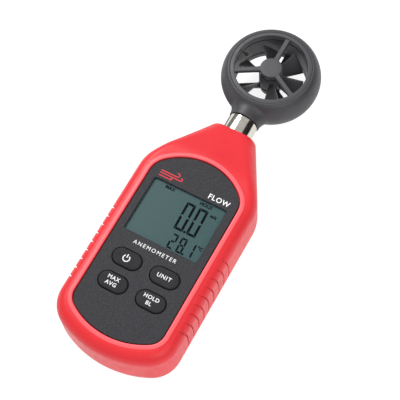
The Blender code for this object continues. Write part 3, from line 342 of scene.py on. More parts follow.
def feed(made, **patterns):
    """Link patterns to the shader: base_color, roughness, metallic, normal, alpha, coat_weight."""
    shader = made.node_tree.nodes["Principled BSDF"]
    for key, wire in patterns.items():
        made.node_tree.links.new(wire.socket, shader.inputs[key.replace("_", " ").title()])
    return made


print("finish tools ready")


# %% [markdown]
# ### Moulded plastics
# Injection-moulded ABS is never quite even: the tool's spark-eroded surface leaves a fine grain, the
# gloss wanders a little and handling polishes the high spots.  One function makes such a plastic from
# a dark and a light shade, a gloss and the size of its grain.


# %% Plastics
def plastic(name, dark, light, gloss, grain_per_mm, grain_height, specular=0.5):
    """Moulded plastic: shade and gloss wander a little, and the grain is a relief of that height in mm."""
    made, place = finish(name, {"IOR": 1.49, "Specular IOR Level": specular})
    clouds = place.noise(0.05, 3.0)
    speck = place.noise(2.4, 2.0, 0.6)
    shade = (0.6 * clouds + 0.4 * speck).rise(0.3, 0.72)
    rub = place.noise(0.35, 4.0, 0.65).rise(0.35, 0.75)
    grain = place.noise(grain_per_mm, 2.0, 0.55) + 0.35 * place.cells(grain_per_mm * 0.7)
    return feed(made, base_color=shade.tint(dark, light), roughness=gloss + 0.1 * rub + 0.04 * speck,
                normal=grain.relief(grain_height))


KEY = plastic("key_rubber", (0.010, 0.010, 0.012), (0.018, 0.018, 0.021), 0.60, 5.5, 0.010, 0.3)
HEAD = plastic("head_moulding", (0.030, 0.030, 0.035), (0.044, 0.044, 0.050), 0.44, 4.2, 0.016)
GUARD = plastic("guard_moulding", (0.046, 0.046, 0.052), (0.062, 0.062, 0.069), 0.46, 4.2, 0.016)
VANE = plastic("vane_moulding", (0.040, 0.040, 0.046), (0.056, 0.056, 0.063), 0.42, 4.2, 0.008)
RUBBER = plastic("black_rubber", (0.012, 0.012, 0.013), (0.020, 0.020, 0.022), 0.62, 3.0, 0.012)
CHIP = plastic("chip_resin", (0.016, 0.016, 0.018), (0.026, 0.026, 0.028), 0.5, 6.0, 0.006)
DIFFUSER = plastic("white_diffuser", (0.70, 0.71, 0.71), (0.78, 0.79, 0.79), 0.42, 4.0, 0.008)
print("plain plastics made")


# %% [markdown]
# ### Red case and grained panel
# The case's raised bead gets a painted highlight: above a set height its red is lighter, and a little
# glossier.  The panel is moulded against a coarse texture, which needs grains large enough to be
# seen one by one; two noises of different scale do that with less repetition than a cell pattern.


# %% Red case and grained panel
def red_moulding():
    """The plastic of the case; its raised bead, above the front flat, has a painted highlight: lighter red
    and a little glossier.
    """
    made, place = finish("red_moulding", {"IOR": 1.49, "Specular IOR Level": 0.3})
    shade = (0.6 * place.noise(0.05, 3.0) + 0.4 * place.noise(2.4, 2.0, 0.6)).rise(0.3, 0.72)
    body = shade.tint((0.65, 0.020, 0.028), (0.74, 0.028, 0.036))
    # painted highlight: mask of the raised bead, above the front flat
    bead_highlight = place.part(2).rise((DEPTH + 0.01) * MM, (DEPTH + 0.14) * MM)
    rub = place.noise(0.35, 4.0, 0.65).rise(0.35, 0.75)
    grain = place.noise(5.0, 2.0, 0.55) + 0.35 * place.cells(3.5)
    # the bead's lighter red is a painted highlight; its lower roughness is the real gloss
    return feed(made, base_color=bead_highlight.tint(body, (0.95, 0.125, 0.14)),
                roughness=0.36 + 0.1 * rub - 0.06 * bead_highlight, normal=grain.relief(0.012))


def panel_moulding():
    """Coarse spark-eroded texture: pale and dark grains about half a millimetre across."""
    made, place = finish("panel_moulding", {"IOR": 1.49, "Specular IOR Level": 0.3})
    grain = place.noise(2.4, 2.0, 0.7)
    spark = place.noise(1.9, 1.0, 0.5).rise(0.54, 0.74)
    shade = grain.rise(0.3, 0.7).tint((0.016, 0.016, 0.020), (0.032, 0.032, 0.037))
    return feed(made, base_color=(0.3 * spark).tint(shade, (0.10, 0.10, 0.11)),
                roughness=0.52 + 0.16 * grain, normal=(grain + place.noise(4.5, 2.0, 0.6)).relief(0.06))


RED, PANEL = red_moulding(), panel_moulding()
print("case and panel finishes made")


# %% [markdown]
# ### Metals
# The neck tube is chrome plate on brass: almost a mirror, with fine turning marks round it and a faint
# haze.  Springs, contacts and screws are plain nickel, duller and more uneven.


# %% Metals
def metal(name, dark, light, gloss, haze, marks_per_mm, marks_height):
    """Plated or bare metal with marks that run round the y axis, since they only change along it."""
    made, place = finish(name, {"Metallic": 1.0})
    cloud = place.noise(0.25, 3.0, 0.6)
    turning = place.stretch(0.0, 1.0, 0.0).noise(marks_per_mm, 2.0, 0.6)
    return feed(made, base_color=cloud.rise(0.3, 0.7).tint(dark, light),
                roughness=gloss + haze * cloud + haze * turning, normal=turning.relief(marks_height))


CHROME = metal("chrome_plate", (0.58, 0.56, 0.49), (0.72, 0.70, 0.63), 0.09, 0.05, 6.0, 0.0006)
NICKEL = metal("nickel", (0.50, 0.49, 0.47), (0.64, 0.63, 0.60), 0.22, 0.14, 5.0, 0.004)
print("metals made")

# %% [markdown]
# ### Display, prints and electronics
# The display is a reflective liquid crystal: a grey-green film with a faint sheen, behind a clear cover.
# Prints are thin films of ink with slightly broken gloss.  The circuit board shows copper runs under
# green lacquer.


# %% Inks, glass and display
def ink(name, colour, worn, specular=0.3):
    """Printed ink whose colour thins a little in patches."""
    made, place = finish(name, {"Specular IOR Level": specular})
    patches = place.noise(2.2, 3.0, 0.6)
    return feed(made, base_color=patches.rise(0.25, 0.6).tint(worn, colour), roughness=0.42 + 0.2 * patches)


WHITE_INK = ink("white_ink", (0.86, 0.86, 0.86), (0.70, 0.70, 0.70))
RED_INK = ink("red_ink", (0.72, 0.03, 0.05), (0.55, 0.03, 0.045))
SEGMENT = ink("segment_black", (0.003, 0.005, 0.006), (0.005, 0.008, 0.009), 0.02)


def display_film():
    """Grey-green film, a little lighter towards one side, with the cell's fine grid just to be felt."""
    made, place = finish("display_film", {"IOR": 1.5, "Specular IOR Level": 0.25})
    across = place.part(0).rise(-0.016, 0.016)
    mottle = place.noise(3.0, 2.0, 0.6)
    slope = 0.75 * across + 0.25 * mottle
    return feed(made, base_color=slope.tint((0.044, 0.094, 0.097), (0.038, 0.088, 0.093)),
                roughness=0.34 + 0.1 * mottle, normal=mottle.relief(0.004))


def clear_cover():
    """Clear acrylic cover: almost nothing but its gloss, with a few fine scuffs."""
    made, place = finish("clear_cover", {"Base Color": (0.01, 0.015, 0.015, 1.0), "IOR": 1.3,
                                         "Specular IOR Level": 0.2})
    scuff = place.stretch(1.0, 0.15, 1.0).noise(1.5, 3.0, 0.7).rise(0.66, 0.8)
    return feed(made, roughness=0.05 + 0.25 * scuff, alpha=0.04 + 0.04 * scuff)


def board_lacquer():
    """Green lacquer over long copper runs, with bare round pads."""
    made, place = finish("board_lacquer", {"IOR": 1.5, "Coat Weight": 0.4, "Coat Roughness": 0.15})
    runs = place.stretch(1.0, 0.12, 1.0).noise(0.9, 1.0, 0.4).rise(0.5, 0.53)
    pads = 1.0 - place.cells(0.45).rise(0.16, 0.2)
    lacquer = runs.tint((0.012, 0.11, 0.045), (0.02, 0.17, 0.07))
    return feed(made, base_color=pads.tint(lacquer, (0.62, 0.52, 0.30)), roughness=0.3 + 0.15 * runs,
                normal=runs.relief(0.03))


def cell_wrap():
    """Printed sleeve of a cell: dark body with a copper-coloured end, in rings along the cell."""
    made, place = finish("cell_wrap", {"IOR": 1.5, "Coat Weight": 0.35, "Coat Roughness": 0.1})
    along = place.part(1)
    top = along.rise(START_Y + 44.0 * MM, START_Y + 44.3 * MM)
    line = along.rise(START_Y + 42.6 * MM, START_Y + 42.8 * MM) * (1.0 - top)
    rub = place.noise(0.5, 4.0, 0.6)
    body = line.tint((0.020, 0.022, 0.028), (0.75, 0.75, 0.75))
    return feed(made, base_color=top.tint(body, (0.58, 0.26, 0.09)), roughness=0.28 + 0.15 * rub)


FILM, COVER, BOARD, SLEEVE = display_film(), clear_cover(), board_lacquer(), cell_wrap()
print("display, prints and electronics made")

# %% [markdown]
# ## The case
# The outline is one closed curve: a wide arc at the lower end, round corners, straight sides, a shoulder
# arc, a straight taper and the small neck end.  It is worked out for the right half and mirrored.
# The columns on the straight sides stand exactly where the grip grooves need them.


# %% The outline
def arc(middle, radius, start, end, steps):
    """Points of an arc, the last one left out."""
    a = start + (end - start) * np.arange(steps) / steps
    return np.stack([middle[0] + radius * np.cos(a), middle[1] + radius * np.sin(a)], -1)


def straight(start, end, steps):
    """Points of a straight run, the last one left out."""
    share = (np.arange(steps) / steps)[:, None]
    return np.array(start) + (np.array(end) - np.array(start)) * share


TAPER = math.atan2(HALF_WIDTH - NECK_HALF, LENGTH - SHOULDER_Y)
CORNER_X = HALF_WIDTH - LOW_CORNER
CORNER_Y = LOW_ARC - math.sqrt((LOW_ARC - LOW_CORNER) ** 2 - CORNER_X ** 2)
BEND_Y = SHOULDER_Y - SHOULDER_ARC * math.tan(TAPER / 2)
GROOVE_EDGES = np.array([-0.38, -0.31, -0.23, -0.13, 0.0, 0.13, 0.23, 0.31, 0.38])
GROOVE_SHARE = np.array([0.0, 0.10, 0.70, 0.98, 1.0, 0.98, 0.70, 0.10, 0.0])
LOW_STEPS, CORNER_STEPS, HIGH_STEPS = 18, 22, 18
print("taper", round(math.degrees(TAPER), 1), "degrees, shoulder from", round(BEND_Y, 1), "mm")

# %% [markdown]
# ### Columns of the half outline
# A column is one point of the outline that runs from the back to the front.  Evenly spaced columns would
# miss the narrow grooves, so nine stand in each groove and a few on the lands between.  Each column also
# knows in which direction it moves when the skin rounds inwards.


# %% Columns
def side_columns():
    """Heights of the columns on a straight side and each one's share of the groove depth."""
    middles = GROOVE_Y + GROOVE_PITCH * np.arange(GROOVES)
    y = (middles[:, None] + GROOVE_EDGES).ravel()
    share = np.tile(GROOVE_SHARE, GROOVES)
    lands = (middles[:-1, None] + GROOVE_PITCH * np.array([0.3, 0.5, 0.7])).ravel()
    below = np.linspace(CORNER_Y, middles[0] - 1.2, 5)
    above = np.linspace(middles[-1] + 1.2, BEND_Y, 16)[:-1]
    y = np.concatenate([y, lands, below, above])
    share = np.concatenate([share, np.zeros(len(lands) + len(below) + len(above))])
    order = np.argsort(y)
    return y[order], share[order]


def half_outline():
    """Right half of the case: points, the way in which they move inwards, and their groove share."""
    turn = math.atan2(CORNER_X, LOW_ARC - CORNER_Y)
    low = arc((0, LOW_ARC), LOW_ARC, -math.pi / 2, -math.pi / 2 + turn, LOW_STEPS)
    corner = arc((CORNER_X, CORNER_Y), LOW_CORNER, -math.pi / 2 + turn, 0, CORNER_STEPS)
    side_y, share = side_columns()
    side = np.stack([np.full(len(side_y), HALF_WIDTH), side_y], -1)
    bend = arc((HALF_WIDTH - SHOULDER_ARC, BEND_Y), SHOULDER_ARC, 0, TAPER, 12)
    taper_from = np.array([HALF_WIDTH - SHOULDER_ARC * (1 - math.cos(TAPER)),
                           BEND_Y + SHOULDER_ARC * math.sin(TAPER)])
    back = NECK_CORNER * math.tan((math.pi / 2 - TAPER) / 2)
    taper_to = np.array([NECK_HALF + back * math.sin(TAPER), LENGTH - back * math.cos(TAPER)])
    taper = straight(taper_from, taper_to, 30)
    round_end = arc((NECK_HALF - back, LENGTH - NECK_CORNER), NECK_CORNER, TAPER, math.pi / 2, 8)
    flat_end = np.vstack([straight((NECK_HALF - back, LENGTH), (0, LENGTH), 8), [[0, LENGTH]]])
    points = np.vstack([low, corner, side, bend, taper, round_end, flat_end])

    inwards = np.zeros_like(points)
    inwards[:, 0] = -1.0
    inwards[:len(low)] = (np.array([0, LOW_ARC]) - low) / LOW_ARC
    inwards[len(low):len(low) + len(corner)] = (np.array([CORNER_X, CORNER_Y]) - corner) / LOW_CORNER
    tail = len(round_end) + len(flat_end)
    inwards[-tail:, 0] = -points[-tail:, 0] / taper_to[0]
    inwards[-tail:, 1] = -(points[-tail:, 1] - taper_to[1]) / (LENGTH - taper_to[1])
    grooves = np.zeros(len(points))
    grooves[len(low) + len(corner):len(low) + len(corner) + len(side)] = share
    return points, inwards, grooves


OUTLINE, INWARDS, GROOVED = half_outline()
print("outline columns:", len(OUTLINE))

# %% [markdown]
# ### The skin round the case
# From the rear flat to the front flat each column climbs a quarter ellipse, the side wall and a second
# quarter ellipse.  Towards the neck the case gets shallower and the ellipses grow, which turns the
# section almost round.  The grip grooves are sunk into the same surface.  Their line bows towards the
# head, so the columns are shifted along the straight side, which leaves its shape as it is.


# %% Rounded edges
# reach inwards and drop from the flat, first along the body and then at the neck end
EDGE = {"rear": (7.0, 9.5, 8.4, 11.6), "front": (4.4, 5.2, 8.0, 11.4)}


def slope_share(y):
    """0 along the body and 1 at the neck end, quadratic at its start and straight after it."""
    along = y - SLOPE_START
    full = LENGTH - SLOPE_START - SLOPE_EASE
    soft = along ** 2 / (4 * SLOPE_EASE) / full
    return np.where(along <= 0, 0.0, np.where(along < 2 * SLOPE_EASE, soft, (along - SLOPE_EASE) / full))


def quarter(side, steps):
    """Rows of one rounded edge from the side wall to the flat: share inwards and share left of the drop."""
    a = np.pi / 2 * np.arange(steps + 1) / steps
    rows = np.stack([1 - np.cos(a), 1 - np.sin(a)], -1)
    return rows if side == "front" else rows[::-1]


print("share of the slope at y = 90 and 100 mm:", slope_share(np.array([90.0, 100.0])).round(2))


# %% The skin
def case_skin(wall=0.0, edge_steps=12, wall_steps=22):
    """Rows from the rear flat to the front flat; wall moves the whole skin inwards."""
    share = slope_share(OUTLINE[:, 1])
    squeeze = 1 + (NECK_DEPTH / DEPTH - 1) * share
    rows, tops = [], {}
    for side, sign in (("rear", -1.0), ("front", 1.0)):
        in_body, down_body, in_neck, down_neck = EDGE[side]
        reach = in_body + (in_neck - in_body) * share
        drop = down_body + (down_neck - down_body) * share
        level = (AXIS_Z if sign < 0 else DEPTH - AXIS_Z) - wall
        edge = quarter(side, edge_steps)
        inset = edge[:, :1] * reach + wall
        height = sign * (level - np.minimum(drop, level - 0.01) * edge[:, 1:])
        rows.append((inset, height))
        tops[side] = height[0] if side == "front" else height[-1]
    climb = (np.arange(1, wall_steps) / wall_steps)[:, None]
    wall_height = tops["rear"] + (tops["front"] - tops["rear"]) * climb
    inset = np.vstack([rows[0][0], np.full((wall_steps - 1, len(share)), wall), rows[1][0]])
    height = np.vstack([rows[0][1], wall_height, rows[1][1]])
    return place_rows(inset, height, squeeze, wall)


def place_rows(inset, height, squeeze, wall):
    """Full rings of points from inset and height over the tube's axis, with grooves and their bow.

    A groove sinks the skin along its normal, which turns from sideways on the wall to upright on a flat.
    """
    z = AXIS_Z + height * squeeze
    middle = sum(GROOVE_SPAN) / 2
    rise = np.clip(1 - ((z - middle) / ((GROOVE_SPAN[1] - GROOVE_SPAN[0]) / 2)) ** 2, 0.0, 1.0)
    sink = 0.0 if wall else GROOVE_DEEP * GROOVED * np.clip(5 * rise, 0.0, 1.0)
    reach = np.where(height > 0, EDGE["front"][0], EDGE["rear"][0])
    across = 1 - np.clip(inset / reach, 0.0, 1.0)
    z = z - np.sign(height) * sink * np.sqrt(1 - across ** 2)
    near = np.clip((OUTLINE[:, 1] - CORNER_Y) / 3.6, 0.0, 1.0)
    near = near * np.clip((BEND_Y - OUTLINE[:, 1]) / 14.0, 0.0, 1.0)
    straight_side = (OUTLINE[:, 0] > HALF_WIDTH - 1e-6) * near
    x = np.maximum(OUTLINE[:, 0] + INWARDS[:, 0] * (inset + sink * across), 0.0)
    roll = INWARDS[:, 1] * inset
    at_neck = (INWARDS[:, 1] < 0) & (OUTLINE[:, 1] > LENGTH / 2)
    if wall:
        tuck = NECK_ROLL + NECK_WALL
    else:
        tuck = NECK_ROLL * np.clip(inset / EDGE["front"][2], 0.0, 1.0)
    roll = np.where(at_neck, INWARDS[:, 1] * tuck, roll)
    y = OUTLINE[:, 1] + roll + GROOVE_BOW * rise * straight_side
    right = np.stack([x, y, z], -1)
    left = right[:, -2:0:-1] * np.array([-1.0, 1.0, 1.0])
    return np.concatenate([right, left], 1)


OUTER, INNER = case_skin(), case_skin(WALL, 6, 8)
print("case skin rows and columns:", OUTER.shape[:2])

# %% [markdown]
# ### Cutting the skin at a level
# Front and rear case meet in an even joint line.  A Boolean cut would leave long thin faces there, so
# each column is resampled instead, from the place where it crosses the level.


# %% Cutting at a level
def between(rows, low, high, count):
    """The part of a skin between two levels: each column is resampled from where it crosses them."""
    steps = len(rows)
    z = np.maximum.accumulate(rows[:, :, 2], 0)
    ends = []
    for level, default in ((low, 0.0), (high, steps - 1.0)):
        if level is None:
            ends.append(np.full(rows.shape[1], default))
            continue
        below = np.clip((z < level).sum(0) - 1, 0, steps - 2)
        cols = np.arange(rows.shape[1])
        base, top = z[below, cols], z[below + 1, cols]
        ends.append(below + np.clip((level - base) / np.maximum(top - base, 1e-9), 0.0, 1.0))
    at = ends[0] + (ends[1] - ends[0]) * (np.arange(count + 1) / count)[:, None]
    low_index = np.clip(np.floor(at).astype(int), 0, steps - 2)
    share = (at - low_index)[..., None]
    cols = np.arange(rows.shape[1])[None, :]
    return rows[low_index, cols] * (1 - share) + rows[low_index + 1, cols] * share


joint = between(OUTER, PARTING, None, 1)[0]
print("joint line at", round(float(joint[:, 2].min()), 2), "mm over the back")

# %% [markdown]
# ### The panel's outline
# The panel sits in a recess with a raised round bead.  Its outline has the same number of columns as
# the case, so one grid can run from the side of the case over the bead and down into the recess.


# %% Panel outline
PANEL_ARCS = (31.0, 24.3)
PANEL_CORNERS = (6.5, 9.0)


def panel_ring(grow, z):
    """Closed outline of the panel, grown outwards by grow: two wide arcs, four corners, straight sides."""
    half = PANEL_HALF + grow
    low_r, high_r = (radius + grow for radius in PANEL_CORNERS)
    bottom_r, top_r = (radius + grow for radius in PANEL_ARCS)
    bottom_y, top_y = PANEL_LOW + PANEL_ARCS[0], PANEL_HIGH - PANEL_ARCS[1]
    low_x, high_x = half - low_r, half - high_r
    low_y = bottom_y - math.sqrt((bottom_r - low_r) ** 2 - low_x ** 2)
    high_y = top_y + math.sqrt((top_r - high_r) ** 2 - high_x ** 2)
    low_turn = math.atan2(low_x, bottom_y - low_y)
    high_turn = math.atan2(high_y - top_y, high_x)
    rest = len(OUTLINE) - 1 - LOW_STEPS - CORNER_STEPS - HIGH_STEPS
    run = int(rest * 0.62)
    points = np.vstack([arc((0, bottom_y), bottom_r, -math.pi / 2, -math.pi / 2 + low_turn, LOW_STEPS),
                        arc((low_x, low_y), low_r, -math.pi / 2 + low_turn, 0, CORNER_STEPS),
                        straight((half, low_y), (half, high_y), run),
                        arc((high_x, high_y), high_r, 0, high_turn, HIGH_STEPS),
                        arc((0, top_y), top_r, high_turn, math.pi / 2, rest - run),
                        [[0, top_y + top_r]]])
    ring = np.vstack([points, points[-2:0:-1] * np.array([-1.0, 1.0])])
    return np.column_stack([ring, np.full(len(ring), z)])


def bead_rows():
    """Half-round bead between the case's front flat and the recess, then the recess wall and its floor."""
    rows = []
    for t in np.linspace(0.0, 1.0, 8):
        climb = (BEAD_TOP - DEPTH) * (3 * t ** 2 - 2 * t ** 3)
        rows.append(panel_ring(BEAD_WIDTH + 1.0 - 1.5 * t, DEPTH + climb))
    for t in np.linspace(math.radians(80), math.radians(0), 7):
        grow = GAP / 2 + BEAD_ROUND * (1 - math.cos(t))
        rows.append(panel_ring(grow, BEAD_TOP - BEAD_ROUND * (1 - math.sin(t))))
    recess = ((GAP / 2, 27.1), (GAP / 2, 26.1), (GAP / 2 - LEDGE, 26.0), (-LEDGE, 24.7))
    return rows + [panel_ring(grow, z) for grow, z in recess]


print("panel columns:", len(panel_ring(0, 0)))

# %% [markdown]
# ### Front case
# The front shell is one closed wall: outer skin, front flat, bead, recess, then back down the inner skin
# to the joint.  One grid for all of it leaves no seams to hide, which separate pieces would.


# %% Front case
def front_shell():
    """Rings from the joint up the outer skin, over the bead and down the inner skin to the joint again.

    On the front flat a ring is a blend of skin and bead ring, and its height follows the sloping flat.
    """
    outer = between(OUTER, PARTING + GAP / 2, None, 46)
    lip = outer[:1] * np.array([0.997, 1.0, 1.0])
    inner = between(INNER, PARTING + GAP / 2, None, 14)[::-1]
    rim = bead_rows()
    steps = np.linspace(0, 1, 13)[1:-1, None, None]
    flat = outer[-1] * (1 - steps) + rim[0] * steps
    soft = (3 * steps ** 2 - 2 * steps ** 3)[..., 0]
    flat[..., 2] = top_level(flat[..., 1]) + soft * (rim[0][:, 2] - top_level(rim[0][:, 1]))
    return np.concatenate([lip, outer[1:], flat, rim, inner])


def top_level(y):
    """Level of the front flat: even along the body, then falling towards the neck."""
    return AXIS_Z + (DEPTH - AXIS_Z) * (1 + (NECK_DEPTH / DEPTH - 1) * slope_share(y))


CASE_SMOOTH = 48
front = piece("front_case_shell", skin(front_shell(), loop=True), RED, CASE_SMOOTH)
hole = [(TUBE + TUBE_GAP, LENGTH - 1.5), (TUBE + TUBE_GAP, LENGTH + 2)]
carve(front, along_y(turned(hole, 96, False), AXIS_Z), smooth=CASE_SMOOTH)
fit(front, "case", "front_case", slot="red_plastic")

# %% [markdown]
# ### Rear case and battery door
# The back is a second moulding with a flat bottom, four sunk screws and a door that slides off over three
# cells.  The door could be drawn by itself, but then its curved lower lip has to be matched by hand.  Here
# two copies of one bowl are cut: the first loses the door's field, the second keeps only that field.


# %% Simple cutters
def box(low, high):
    """Block between two opposite corners."""
    (x0, y0, z0), (x1, y1, z1) = low, high
    ring = np.array([[x0, y0], [x1, y0], [x1, y1], [x0, y1]], float)
    return skin(np.stack([at(ring, z0), at(ring, z1)]))


def at(outline, z):
    """Flat outline of (x, y) as points at one height."""
    return np.column_stack([outline, np.full(len(outline), z)])


def bowl(level):
    """Rear part of the skin up to a level, with an inner skin.

    Both flats run from their ring to the middle line: x is scaled down to 0, y and z stay.
    """
    outer = between(OUTER, None, level, 26)
    inner = between(INNER, None, level, 10)[::-1]
    narrow = np.linspace(0, 1, 7)[:-1, None, None] * [1.0, 0.0, 0.0] + [0.0, 1.0, 1.0]
    return skin(np.concatenate([outer[0] * narrow, outer, inner, inner[-1] * narrow[::-1]]), fan=False)


print("cutters ready")


# %% Rear case, bay and door
SCREWS = ((-20.25, 14.0), (20.25, 14.0), (-18.7, 81.3), (18.7, 81.3))
SCREW_RECESS = 1.9
BAY_HALF, BAY_START, BAY_END, BAY_ROOF, BAY_WALL = 16.75, 7.3, 57.6, 13.3, 0.8
DOOR_GAP = 0.25
FAR = -3  # outside the case, behind it as well as below its lower end
rear = piece("rear_case_shell", bowl(PARTING - GAP / 2), RED, CASE_SMOOTH)
openings = [box((-BAY_HALF, FAR, FAR), (BAY_HALF, BAY_END, 9))]
recess = turned([(SCREW_RECESS, FAR), (SCREW_RECESS, 1.8)], 48, False)
openings += [moved(recess, x, y) for x, y in SCREWS]
carve(rear, together(*openings), smooth=CASE_SMOOTH)


def tray(floor=2.2):
    """Battery bay over the door: a box without a floor, as one closed wall."""
    def ring(grow, z):
        half, start, end = BAY_HALF + grow, BAY_START - grow, BAY_END + grow
        return np.array([[-half, start, z], [half, start, z], [half, end, z], [-half, end, z]], float)
    return skin(np.stack([ring(BAY_WALL, BAY_ROOF + BAY_WALL), ring(BAY_WALL, floor), ring(0, floor),
                          ring(0, BAY_ROOF)]))


bay = piece("battery_bay", tray(), RED, 30)
fit(rear, "case", "rear_case", slot="red_plastic")
fit(bay, "case", slot="red_plastic")

door = piece("battery_door_plate", bowl(PARTING - GAP / 2), RED, CASE_SMOOTH)
door_field = box((-BAY_HALF + DOOR_GAP, FAR, FAR), (BAY_HALF - DOOR_GAP, BAY_END - GAP, PARTING))
carve(door, door_field, "INTERSECT", CASE_SMOOTH)
ribs = []
for n in range(6):
    half, y = 8 - 0.5 * n, 12.0 + 2.2 * n
    ribs.append(box((-half, y, -1), (half, y + 1.1, 0.5)))
carve(door, together(*ribs), smooth=CASE_SMOOTH)
fit(door, "door", "battery_door", slot="red_plastic")

# %% [markdown]
# ## Panel and keys
# The panel is a flat plate with the window and four key openings cut through it, each with a tiny
# chamfer that catches the light.  The keys are rubber with a soft round edge and printed signs.


# %% Panel
def rounded(width, height, radius, x=0.0, y=0.0, steps=8):
    """Closed outline of a rectangle with round corners."""
    w, h = width / 2 - radius, height / 2 - radius
    a = np.pi / 2 * np.arange(steps + 1) / steps
    corners = [(w, -h, -np.pi / 2), (w, h, 0), (-w, h, np.pi / 2), (-w, -h, np.pi)]
    return np.vstack([np.stack([x + cx + radius * np.cos(s + a), y + cy + radius * np.sin(s + a)], -1)
                      for cx, cy, s in corners])


def key_outline(inset, steps=20):
    """Long key seen from above: two half circles joined by straight sides, moved in by inset."""
    radius = max(3.5 - inset, 0.02)
    return rounded(5.0 + 2 * radius, 2 * radius, radius - 0.001, steps=steps)


def opening(outline, chamfer, over=0.02):
    """Cutter through the panel that widens at the panel's face; outline gives its line grown by a size."""
    narrow, wide = outline(0.0), outline(chamfer + over)
    return skin(np.stack([at(narrow, 25.0), at(narrow, PANEL_Z - chamfer), at(wide, PANEL_Z + over),
                          at(wide, 29.0)]))


def window_outline(grow, width=WINDOW[0] + 0.1, height=WINDOW[1] + 0.1):
    """Window in the panel, grown outwards."""
    return rounded(width + 2 * grow, height + 2 * grow, 0.9 + grow, 0, WINDOW[2])


def key_opening(grow, clear=0.28):
    """Opening round a key, which stands clear of it on all sides."""
    return key_outline(-clear - grow)


KEYS = {"power": (-8.23, 36.5, "power_button"), "unit": (8.23, 36.5, "unit_button"),
        "max_avg": (-8.23, 25.9, "max_avg_button"), "hold": (8.23, 25.9, "hold_button")}
plate_rows = np.stack([panel_ring(-GAP / 2, 26.3), panel_ring(-GAP / 2, PANEL_Z - 0.12),
                       panel_ring(-GAP / 2 - 0.12, PANEL_Z)])
panel = piece("panel_plate", skin(plate_rows), PANEL, 25)
holes = [opening(window_outline, 0.25)]
holes += [moved(opening(key_opening, 0.12), x, y) for x, y, _ in KEYS.values()]
carve(panel, together(*holes), smooth=25)
fit(panel, "case", "front_panel", slot="panel_plastic")

# %% [markdown]
# ### Keys
# The long keys rise from a rubber mat behind the panel.  A block with a bevel modifier would do, but
# rings that follow a quarter circle give the same soft edge on an even grid, and one shape serves all
# four keys.


# %% Keys
def key_shape(edge_round=0.55):
    """Stadium rings: straight wall, quarter-round edge, then an almost flat crown."""
    a = np.pi / 2 * np.arange(9) / 8
    edge = [(edge_round * (1 - math.cos(t)), PANEL_Z + edge_round * math.sin(t)) for t in a]
    crown = [(0.95, 27.89), (1.5, 27.9), (2.8, 27.9), (3.4, 27.9)]
    rows = [(0.0, 24.5), (0.0, 25.8)] + edge + crown
    return skin(np.stack([at(key_outline(inset), z) for inset, z in rows]))


for name, (x, y, body) in KEYS.items():
    made = piece(f"{name}_cap", moved(key_shape(), x, y), KEY, 40)
    fit(made, body, f"{name}_key", slot="key_rubber")


# %% [markdown]
# ## Signs
# The keys and the panel carry white print and a small red wind sign.  An image on the panel would blur
# close up.  So letters are Blender text made into thin meshes, and the signs are strokes with a width,
# worked out from a centre line.  Only plain function words and units are printed.


# %% Letters and strokes
def lettering(name, words, size, middle, z, finish_used, body, bold=0.0, spacing=1.0, thick=0.02):
    """Thin text lying on a face: middle is the centre of the words, size the height of a capital."""
    curve = bpy.data.curves.new(name, "FONT")
    curve.body = words
    curve.size = size * MM / 0.7
    curve.align_x, curve.align_y = "CENTER", "CENTER"
    curve.extrude, curve.offset = thick / 2 * MM, bold * MM
    curve.space_character, curve.space_line = spacing, 1.08
    curve.resolution_u = 4
    text = placed(name, curve)
    mesh = bpy.data.meshes.new_from_object(text.evaluated_get(bpy.context.evaluated_depsgraph_get()))
    bpy.data.objects.remove(text, do_unlink=True)
    points = np.empty(len(mesh.vertices) * 3)
    mesh.vertices.foreach_get("co", points)
    points = points.reshape(-1, 3)
    centre = (points.min(0) + points.max(0)) / 2
    points += np.array([middle[0] * MM, middle[1] * MM + START_Y, (z + thick / 2) * MM]) - centre
    mesh.vertices.foreach_set("co", points.ravel())
    mesh.update()
    outwards(mesh)
    mesh.materials.clear()
    mesh.materials.append(finish_used)
    return fit(placed(name, mesh), body)


def stroke(line, width, z, thick=0.02):
    """Flat strip along a line of points: each point is moved sideways by half the width."""
    line = np.asarray(line, float)
    along = np.gradient(line, axis=0)
    along /= np.linalg.norm(along, axis=1)[:, None]
    aside = np.stack([-along[:, 1], along[:, 0]], -1) * width / 2
    left, right = line + aside, line - aside
    ring = np.stack([at(left, z), at(right, z), at(right, z + thick), at(left, z + thick)], 1)
    return skin(ring)


INK_Z, PRINT_Z = 27.905, PANEL_Z + 0.01
LINE_WIDTH = 0.42
turn = np.linspace(math.radians(128), math.radians(412), 40)
circle = np.stack([-8.45 + 1.32 * np.cos(turn), 36.45 + 1.32 * np.sin(turn)], -1)
bar = np.array([[-8.45, 36.7], [-8.45, 37.4], [-8.45, 38.2]])
power_lines = [stroke(line, LINE_WIDTH, INK_Z) for line in (circle, bar)]
fit(piece("power_sign", together(*power_lines), WHITE_INK, 30), "power_button")
PRINTS = (("unit_sign", "UNIT", 1.6, (8.1, 36.5), INK_Z, "unit_button", 0.035, 1.22),
          ("max_avg_sign", "MAX\nAVG", 1.55, (-8.45, 26.15), INK_Z, "max_avg_button", 0.035, 1.12),
          ("hold_sign", "HOLD\nBL", 1.55, (8.0, 26.0), INK_Z, "hold_button", 0.035, 1.12),
          ("kind_line", "ANEMOMETER", 1.6, (-0.4, 44.1), PRINT_Z, "case", 0.012, 1.36),
          ("flow_word", "FLOW", 2.1, (11.2, 74.1), PRINT_Z, "case", 0.06, 1.16))
for name, words, size, middle, z, body, bold, spacing in PRINTS:
    lettering(name, words, size, middle, z, WHITE_INK, body, bold, spacing)


def gust(y, length, curl, left=-15.2):
    """Wind line: a straight run that ends in a small hook."""
    run = np.stack([np.linspace(left, left + length, 12), np.full(12, y)], -1)
    a = np.linspace(-math.pi / 2, math.pi * 0.7, 18)
    hook = np.stack([run[-1, 0] + curl * np.cos(a), y + curl + curl * np.sin(a)], -1)
    return stroke(np.vstack([run[:-1], hook]), LINE_WIDTH, PRINT_Z)


